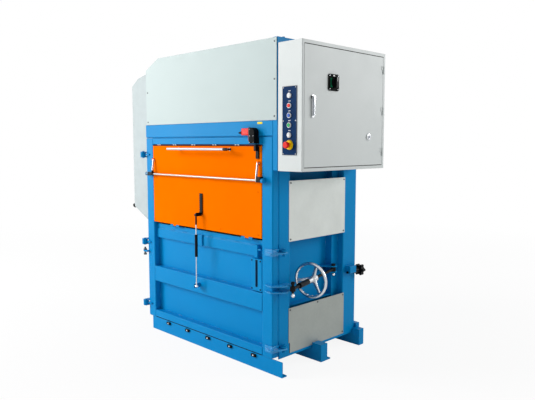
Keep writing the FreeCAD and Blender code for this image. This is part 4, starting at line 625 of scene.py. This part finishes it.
def screws(name, places, body, finish=ZINC_PLATED_STEEL, height=0.5):
    """Screw heads; places are (point in mm, outward direction, head radius in mm)."""
    start = bpy.data.meshes.new(name + "_places")
    start.from_pydata([mm(*point) for point, way, radius in places], [], [])
    start.attributes.new("axis", "FLOAT_VECTOR", "POINT")
    start.attributes.new("size", "FLOAT", "POINT")
    for number, (point, way, radius) in enumerate(places):
        start.attributes["axis"].data[number].vector = way
        start.attributes["size"].data[number].value = radius / 1000.0
    values = {"Head height": height, "Socket share": 0.46, "Finish": finish, "Socket shade finish": BLACK_RUBBER_AND_SHADE}
    return grown(name, screw_rule, start, values, body)


OUT_FRONT, OUT_RIGHT, OUT_LEFT, UP = (0.0, -1.0, 0.0), (1.0, 0.0, 0.0), (-1.0, 0.0, 0.0), (0.0, 0.0, 1.0)

# ---------------------------------------------------------------- screws and bolts
hood_places = ((-657.0, 1853.0), (-657.0, 1629.0), (711.0, 2077.0), (711.0, 1853.0), (711.0, 1631.0))
screws("hood_screws", [((x, FRONT - 2.5, z), OUT_FRONT, 5.5) for x, z in hood_places], "frame", MILL_STEEL)

plate_front, plate_back = FRONT + 147.0, FRONT + 724.0
side_places = [(y, z) for z in (852.0, 1215.0) for y in (plate_front + 15.0, plate_back - 14.0)]
side_places += [(plate_front + 14.0, 388.0), ((plate_front + plate_back) / 2.0, 390.0),
                (plate_back - 12.0, 388.0), (plate_back - 12.0, 118.0)]
screws("side_plate_screws", [((RIGHT + 3.0, y, z), OUT_RIGHT, 6.0) for y, z in side_places], "frame",
       MILL_STEEL)

flap_places = ((-579.0, 1431.0), (-578.0, 1162.0), (-588.0, 881.0), (-189.0, 886.0), (194.0, 884.0),
               (566.0, 1159.0), (566.0, 884.0))
screws("flap_screws", [((x, FRONT, z), OUT_FRONT, 4.0) for x, z in flap_places], "flap", ORANGE_ENAMEL, 0.3)

slot_places = [(x, z) for x in (SLOT_PLATE_LEFT + 9.0, SLOT_PLATE_RIGHT - 10.0) for z in (530.0, 715.0)]
screws("slot_cover_bolts", [((x, FRONT, z), OUT_FRONT, 5.5) for x, z in slot_places], "door", BLACK_NYLON)

control_places = [(x, z) for x in (PLATE_LEFT + 8.0, PLATE_RIGHT - 8.0) for z in (1403.0, 1598.5, 1794.0)]
screws("control_plate_screws", [((x, PLATE_FACE, z), OUT_FRONT, 3.6) for x, z in control_places], "frame")
switch_places = [(SWITCH_Y + y, SWITCH_HEIGHT + z) for y in (-40.0, 40.0) for z in (-40.0, 40.0)]
screws("switch_plate_screws", [((LEAF_FACE, y, z), OUT_RIGHT, 4.0) for y, z in switch_places], "cabinet_leaf")

# ---------------------------------------------------------------- stitch welds
skin_weld, rib_weld, rail_weld = DOOR_SKIN - 1.0, FRONT + 27.0, FRONT + 29.0
door_runs = [
    [(DOOR_LEFT + 40.0, rib_weld, 811.0), (RIGHT - 187.0, rib_weld, 811.0)],
    [(DOOR_LEFT + 60.0, skin_weld, 511.0), (DOOR_RIGHT - 20.0, skin_weld, 511.0)],
    [(DOOR_LEFT + 90.0, skin_weld, 157.0), (DOOR_RIGHT - 20.0, skin_weld, 157.0)],
    [(DOOR_LEFT + 30.0, skin_weld, 391.0), (DOOR_RIGHT - 20.0, skin_weld, 391.0)],
    [(DOOR_LEFT + 50.0, rail_weld, 736.0), (DOOR_RIGHT - 110.0, rail_weld, 736.0)],
]
for x in (DOOR_LEFT + 1.0, DOOR_RIGHT - 1.0):
    for low, high in ((160.0, 388.0), (514.0, 732.0)):
        door_runs.append([(x, skin_weld, low), (x, skin_weld, high)])
welds("door_stitch_welds", door_runs, "door")

rear_post_front = REAR - 148.0
upright_welds = ((RIGHT - 105.0, FRONT + 183.0, 830.0), (RIGHT - 105.0, rear_post_front - 67.0, 830.0),
                 (RIGHT - 50.0, rear_post_front - 1.0, 1290.0))
welds("frame_stitch_welds", [[(x, y, 420.0), (x, y, top)] for x, y, top in upright_welds], "frame")

# ---------------------------------------------------------------- door and flap trim
buffer_places = (-525.0, -325.0, -100.0, 133.0, 363.0)
buffers = [((x + side - 5.0, FRONT + 1.0, 1452.6), (x + side + 5.0, FRONT + 9.0, 1459.0))
           for x in buffer_places for side in (-13.0, 13.0)]
slabs("window_buffers", buffers, WHITE_CAP, "door")
# seal strips in the gap above the flap: their maroon is painted shade
slabs("window_seal", [((DOOR_LEFT + 3.0, FRONT + 9.5, 1452.6), (DOOR_RIGHT - 3.0, FRONT + 20.0, 1459.0))],
      GAP_SHADE_SEAL_RUBBER, "door")
slabs("flap_top_seal", [((DOOR_LEFT + 7.0, FRONT - 1.2, 1447.4), (DOOR_RIGHT - 7.0, FRONT + 0.3, 1452.2))],
      GAP_SHADE_SEAL_RUBBER, "flap", 0.4)
# painted shade: a black strip fills the dark gap between the door's foot and the foot beam
slabs("beam_gap_shade_strip", [((LEFT + 62.0, FRONT + 1.0, 99.4), (RIGHT - 98.0, FRONT + 12.0, 102.8))],
      BLACK_RUBBER_AND_SHADE, "frame")
slabs("door_stop_strip", [((RIGHT - 60.0, FRONT + 53.8, low), (RIGHT - 2.5, FRONT + 62.0, high))
                          for low, high in ((200.0, 500.0), (600.0, 760.0), (830.0, 1500.0))],
      BLUE_ENAMEL, "frame")
slabs("header_gap_strip", [((LEFT + 1.0, FRONT + 8.0, 1505.8), (RIGHT - 3.0, FRONT + 12.0, 1511.6))],
      BLUE_ENAMEL, "frame")

# rubber round the strap slot, and a black sheet behind it as painted shade inside the slot
slot_low, slot_high = [1000.0 * corner[2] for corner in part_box("slot_plate")]
slot_bottom, slot_top = slot_low + 30.0, slot_high - 10.0
lining = [((SLOT_MIDDLE + x, FRONT - 1.2, slot_bottom - 3.0),
           (SLOT_MIDDLE + x + 4.2, FRONT + 0.2, slot_top + 3.0)) for x in (-9.8, 5.6)]
lining += [((SLOT_MIDDLE - 9.8, FRONT - 1.2, z), (SLOT_MIDDLE + 9.8, FRONT + 0.2, z + 4.0))
           for z in (slot_bottom - 4.0, slot_top)]
# painted shade: the black sheet behind the slot
lining.append(((SLOT_MIDDLE - 14.0, FRONT + 4.3, slot_bottom - 2.0),
               (SLOT_MIDDLE + 14.0, FRONT + 6.0, slot_top + 2.0)))
slabs("slot_rubber_and_painted_shade", lining, BLACK_RUBBER_AND_SHADE, "door", 0.5)

turned("levelling_bolt",
       [(0.0, -27.2), (11.6, -27.2), (12.3, -26.4), (12.3, -14.4), (11.4, -13.5), (7.7, -13.3), (7.7, 12.1),
        (13.0, 12.2), (13.4, 13.0), (13.4, 20.6), (12.4, 21.5), (7.7, 21.6), (7.7, 33.4), (6.6, 34.6),
        (0.0, 34.6)],
       (LEFT - 25.0, FRONT - 12.0, 612.0), UP, MILL_STEEL, "door")
slabs("interlock_lid",
      [((INTERLOCK_X - 28.0, FRONT - 43.4, 1520.0), (INTERLOCK_X + 30.0, FRONT - 41.6, 1556.0))],
      RED_CAP, "door", 1.2)
turned("interlock_gland_nut", [(12.2, 0.0), (14.2, 0.4), (14.8, 1.4), (14.8, 6.4), (14.0, 7.6), (11.0, 8.0)],
       (INTERLOCK_X - 33.0, FRONT - 29.0, 1533.0), OUT_LEFT, BLACK_NYLON, "door", 12)
lid_places = ((45.0, 1554.0), (45.0, 1472.0), (78.0, 1472.0), (45.0, 1513.0), (78.0, 1513.0))
screws("interlock_screws", [((INTERLOCK_X + x, FRONT - 44.0, z), OUT_FRONT, 2.6) for x, z in lid_places],
       "door")
slabs("header_patch", [((559.0, FRONT + 0.2, 1586.0), (603.0, FRONT + 1.2, 1599.0))],
      YELLOW_FILM, "frame", 0.4)

# ---------------------------------------------------------------- control cabinet trim
border = 2.0
frame_bars = [((PLATE_LEFT, PLATE_BOTTOM), (PLATE_LEFT + border, PLATE_TOP)),
              ((PLATE_RIGHT - border, PLATE_BOTTOM), (PLATE_RIGHT, PLATE_TOP)),
              ((PLATE_LEFT, PLATE_BOTTOM), (PLATE_RIGHT, PLATE_BOTTOM + border)),
              ((PLATE_LEFT, PLATE_TOP - border), (PLATE_RIGHT, PLATE_TOP))]
slabs("control_plate_border", [((low[0], PLATE_FACE - 0.9, low[1]), (high[0], PLATE_FACE + 0.2, high[1]))
                               for low, high in frame_bars], MILL_STEEL, "frame", 0.4)
marks = [((BUTTON_X + low, PLATE_FACE - 0.35, z + 24.0), (BUTTON_X + high, PLATE_FACE + 0.1, z + 29.0))
         for z in BUTTON_HEIGHTS for low, high in ((-8.0, -2.0), (1.0, 8.0))]
slabs("button_marks", marks, WHITE_CAP, "frame", 0.2)

slabs("switch_field", [((LEAF_FACE - 0.2, SWITCH_Y - 34.0, SWITCH_HEIGHT - 30.0),
                        (LEAF_FACE + 0.35, SWITCH_Y - 12.0, SWITCH_HEIGHT + 26.0))],
      GREEN_FILM, "cabinet_leaf", 0.2)
slabs("switch_mark", [((LEAF_FACE - 0.2, SWITCH_Y - 6.0, SWITCH_HEIGHT + 37.0),
                       (LEAF_FACE + 0.5, SWITCH_Y + 8.0, SWITCH_HEIGHT + 45.0))],
      WHITE_CAP, "cabinet_leaf", 0.2)
slabs("switch_grip_line", [((CABINET_RIGHT + 35.6, SWITCH_Y - 1.6, SWITCH_HEIGHT + 6.0),
                            (CABINET_RIGHT + 36.4, SWITCH_Y + 1.6, SWITCH_HEIGHT + 29.0))],
      WHITE_CAP, "switch", 0.2)

lock_y, lock_height = FRONT + 656.0, 1508.0
turned("cabinet_lock_face",
       [(0.0, -0.4), (20.5, -0.4), (21.5, 0.8), (20.5, 2.4), (13.0, 3.0), (12.0, 1.6), (0.0, 1.6)],
       (CABINET_RIGHT + 6.0, lock_y, lock_height), OUT_RIGHT, CHROMED_BAR, "cabinet_leaf")
# painted shade: a navy sheet stands for the dark inside the lock's key slot
slabs("cabinet_lock_slot_shade", [((CABINET_RIGHT + 7.4, lock_y - 4.0, lock_height - 11.0),
                             (CABINET_RIGHT + 8.4, lock_y + 4.0, lock_height + 9.0))],
      NAVY_FILM_AND_KEYHOLE_SHADE, "cabinet_leaf", 0.2)

# swing lever in place of the plain CAD grip: spindle on the joint's axis, back plate, lever, head
grip_low, grip_high = [[1000.0 * value for value in corner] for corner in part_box("cabinet_handle")]
middle, spindle = (grip_low[1] + grip_high[1]) / 2.0, (grip_low[1] + 13.0, grip_high[2] - 13.0)
lever_parts = [
    ((grip_low[0], spindle[0] - 3.5, spindle[1] - 3.5), (LEAF_FACE + 1.0, spindle[0] + 3.5, spindle[1] + 3.5)),
    ((LEAF_FACE + 0.2, middle - 12.5, grip_low[2]), (LEAF_FACE + 2.6, middle + 6.0, grip_high[2])),
    ((LEAF_FACE + 2.0, middle - 6.0, grip_low[2] + 7.0),
     (grip_high[0] - 3.0, middle + 3.0, grip_high[2] - 30.0)),
    ((LEAF_FACE + 2.0, middle - 10.0, grip_high[2] - 34.0),
     (grip_high[0] - 1.0, middle + 4.0, grip_high[2] - 5.0)),
]
swing_lever = slabs("cabinet_swing_lever", lever_parts, CHROMED_BAR, "leaf_handle", 3.0)
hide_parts("cabinet_handle")

leaf_low, leaf_high = [[1000.0 * value for value in corner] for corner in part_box("cabinet_door")]
gasket = 4.4
slabs("cabinet_door_gasket", [((CABINET_RIGHT - 3.2, leaf_low[1] + 2.0, z),
                               (CABINET_RIGHT + 0.6, leaf_high[1] - 2.0, z + gasket))
                              for z in (leaf_low[2] - gasket, leaf_high[2])],
      BLACK_RUBBER_AND_SHADE, "frame", 0.4)

# ---------------------------------------------------------------- rollers, balls and knobs
for number, x in enumerate((-424.0, -186.5, 51.0, 288.5, 526.0)):
    guide = (x, FRONT - 8.6, 85.0)
    turned("guide_roller_%d" % (number + 1),
           [(0.0, -4.8), (5.6, -4.8), (6.0, -4.3), (5.3, -3.0), (5.3, 3.0), (6.0, 4.3), (5.6, 4.8), (0.0, 4.8)],
           guide, OUT_RIGHT, WHITE_CAP, "frame", 20)
    turned("guide_axle_%d" % (number + 1),
           [(0.0, -18.6), (3.4, -18.6), (4.6, -17.4), (4.6, -14.2), (3.2, -13.6), (3.2, 13.6), (4.6, 14.2),
            (4.6, 17.4), (3.4, 18.6), (0.0, 18.6)],
           guide, OUT_RIGHT, BLACK_NYLON, "frame", 16)
turned("spring_foot_ball",
       [(0.0, -8.4), (3.8, -6.6), (6.0, -3.0), (6.6, 0.0), (6.0, 3.0), (3.8, 6.6), (0.0, 8.4)],
       (SPRING_FOOT[0] + 8.0, SPRING_FOOT[1], SPRING_FOOT[2]), OUT_RIGHT, WHITE_CAP, "spring_rod")
cover_left = 1000.0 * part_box("left_cover")[0][0]
turned("cover_stop_knob",
       [(0.0, -3.0), (17.0, -3.0), (19.5, -1.0), (20.0, 2.0), (19.0, 18.0), (16.0, 26.0), (9.0, 29.0),
        (0.0, 29.6)],
       (cover_left + 30.0, -339.0, 951.0), OUT_LEFT, BLACK_RUBBER_AND_SHADE, "frame")

bpy.context.scene.view_settings.view_transform = "Standard"
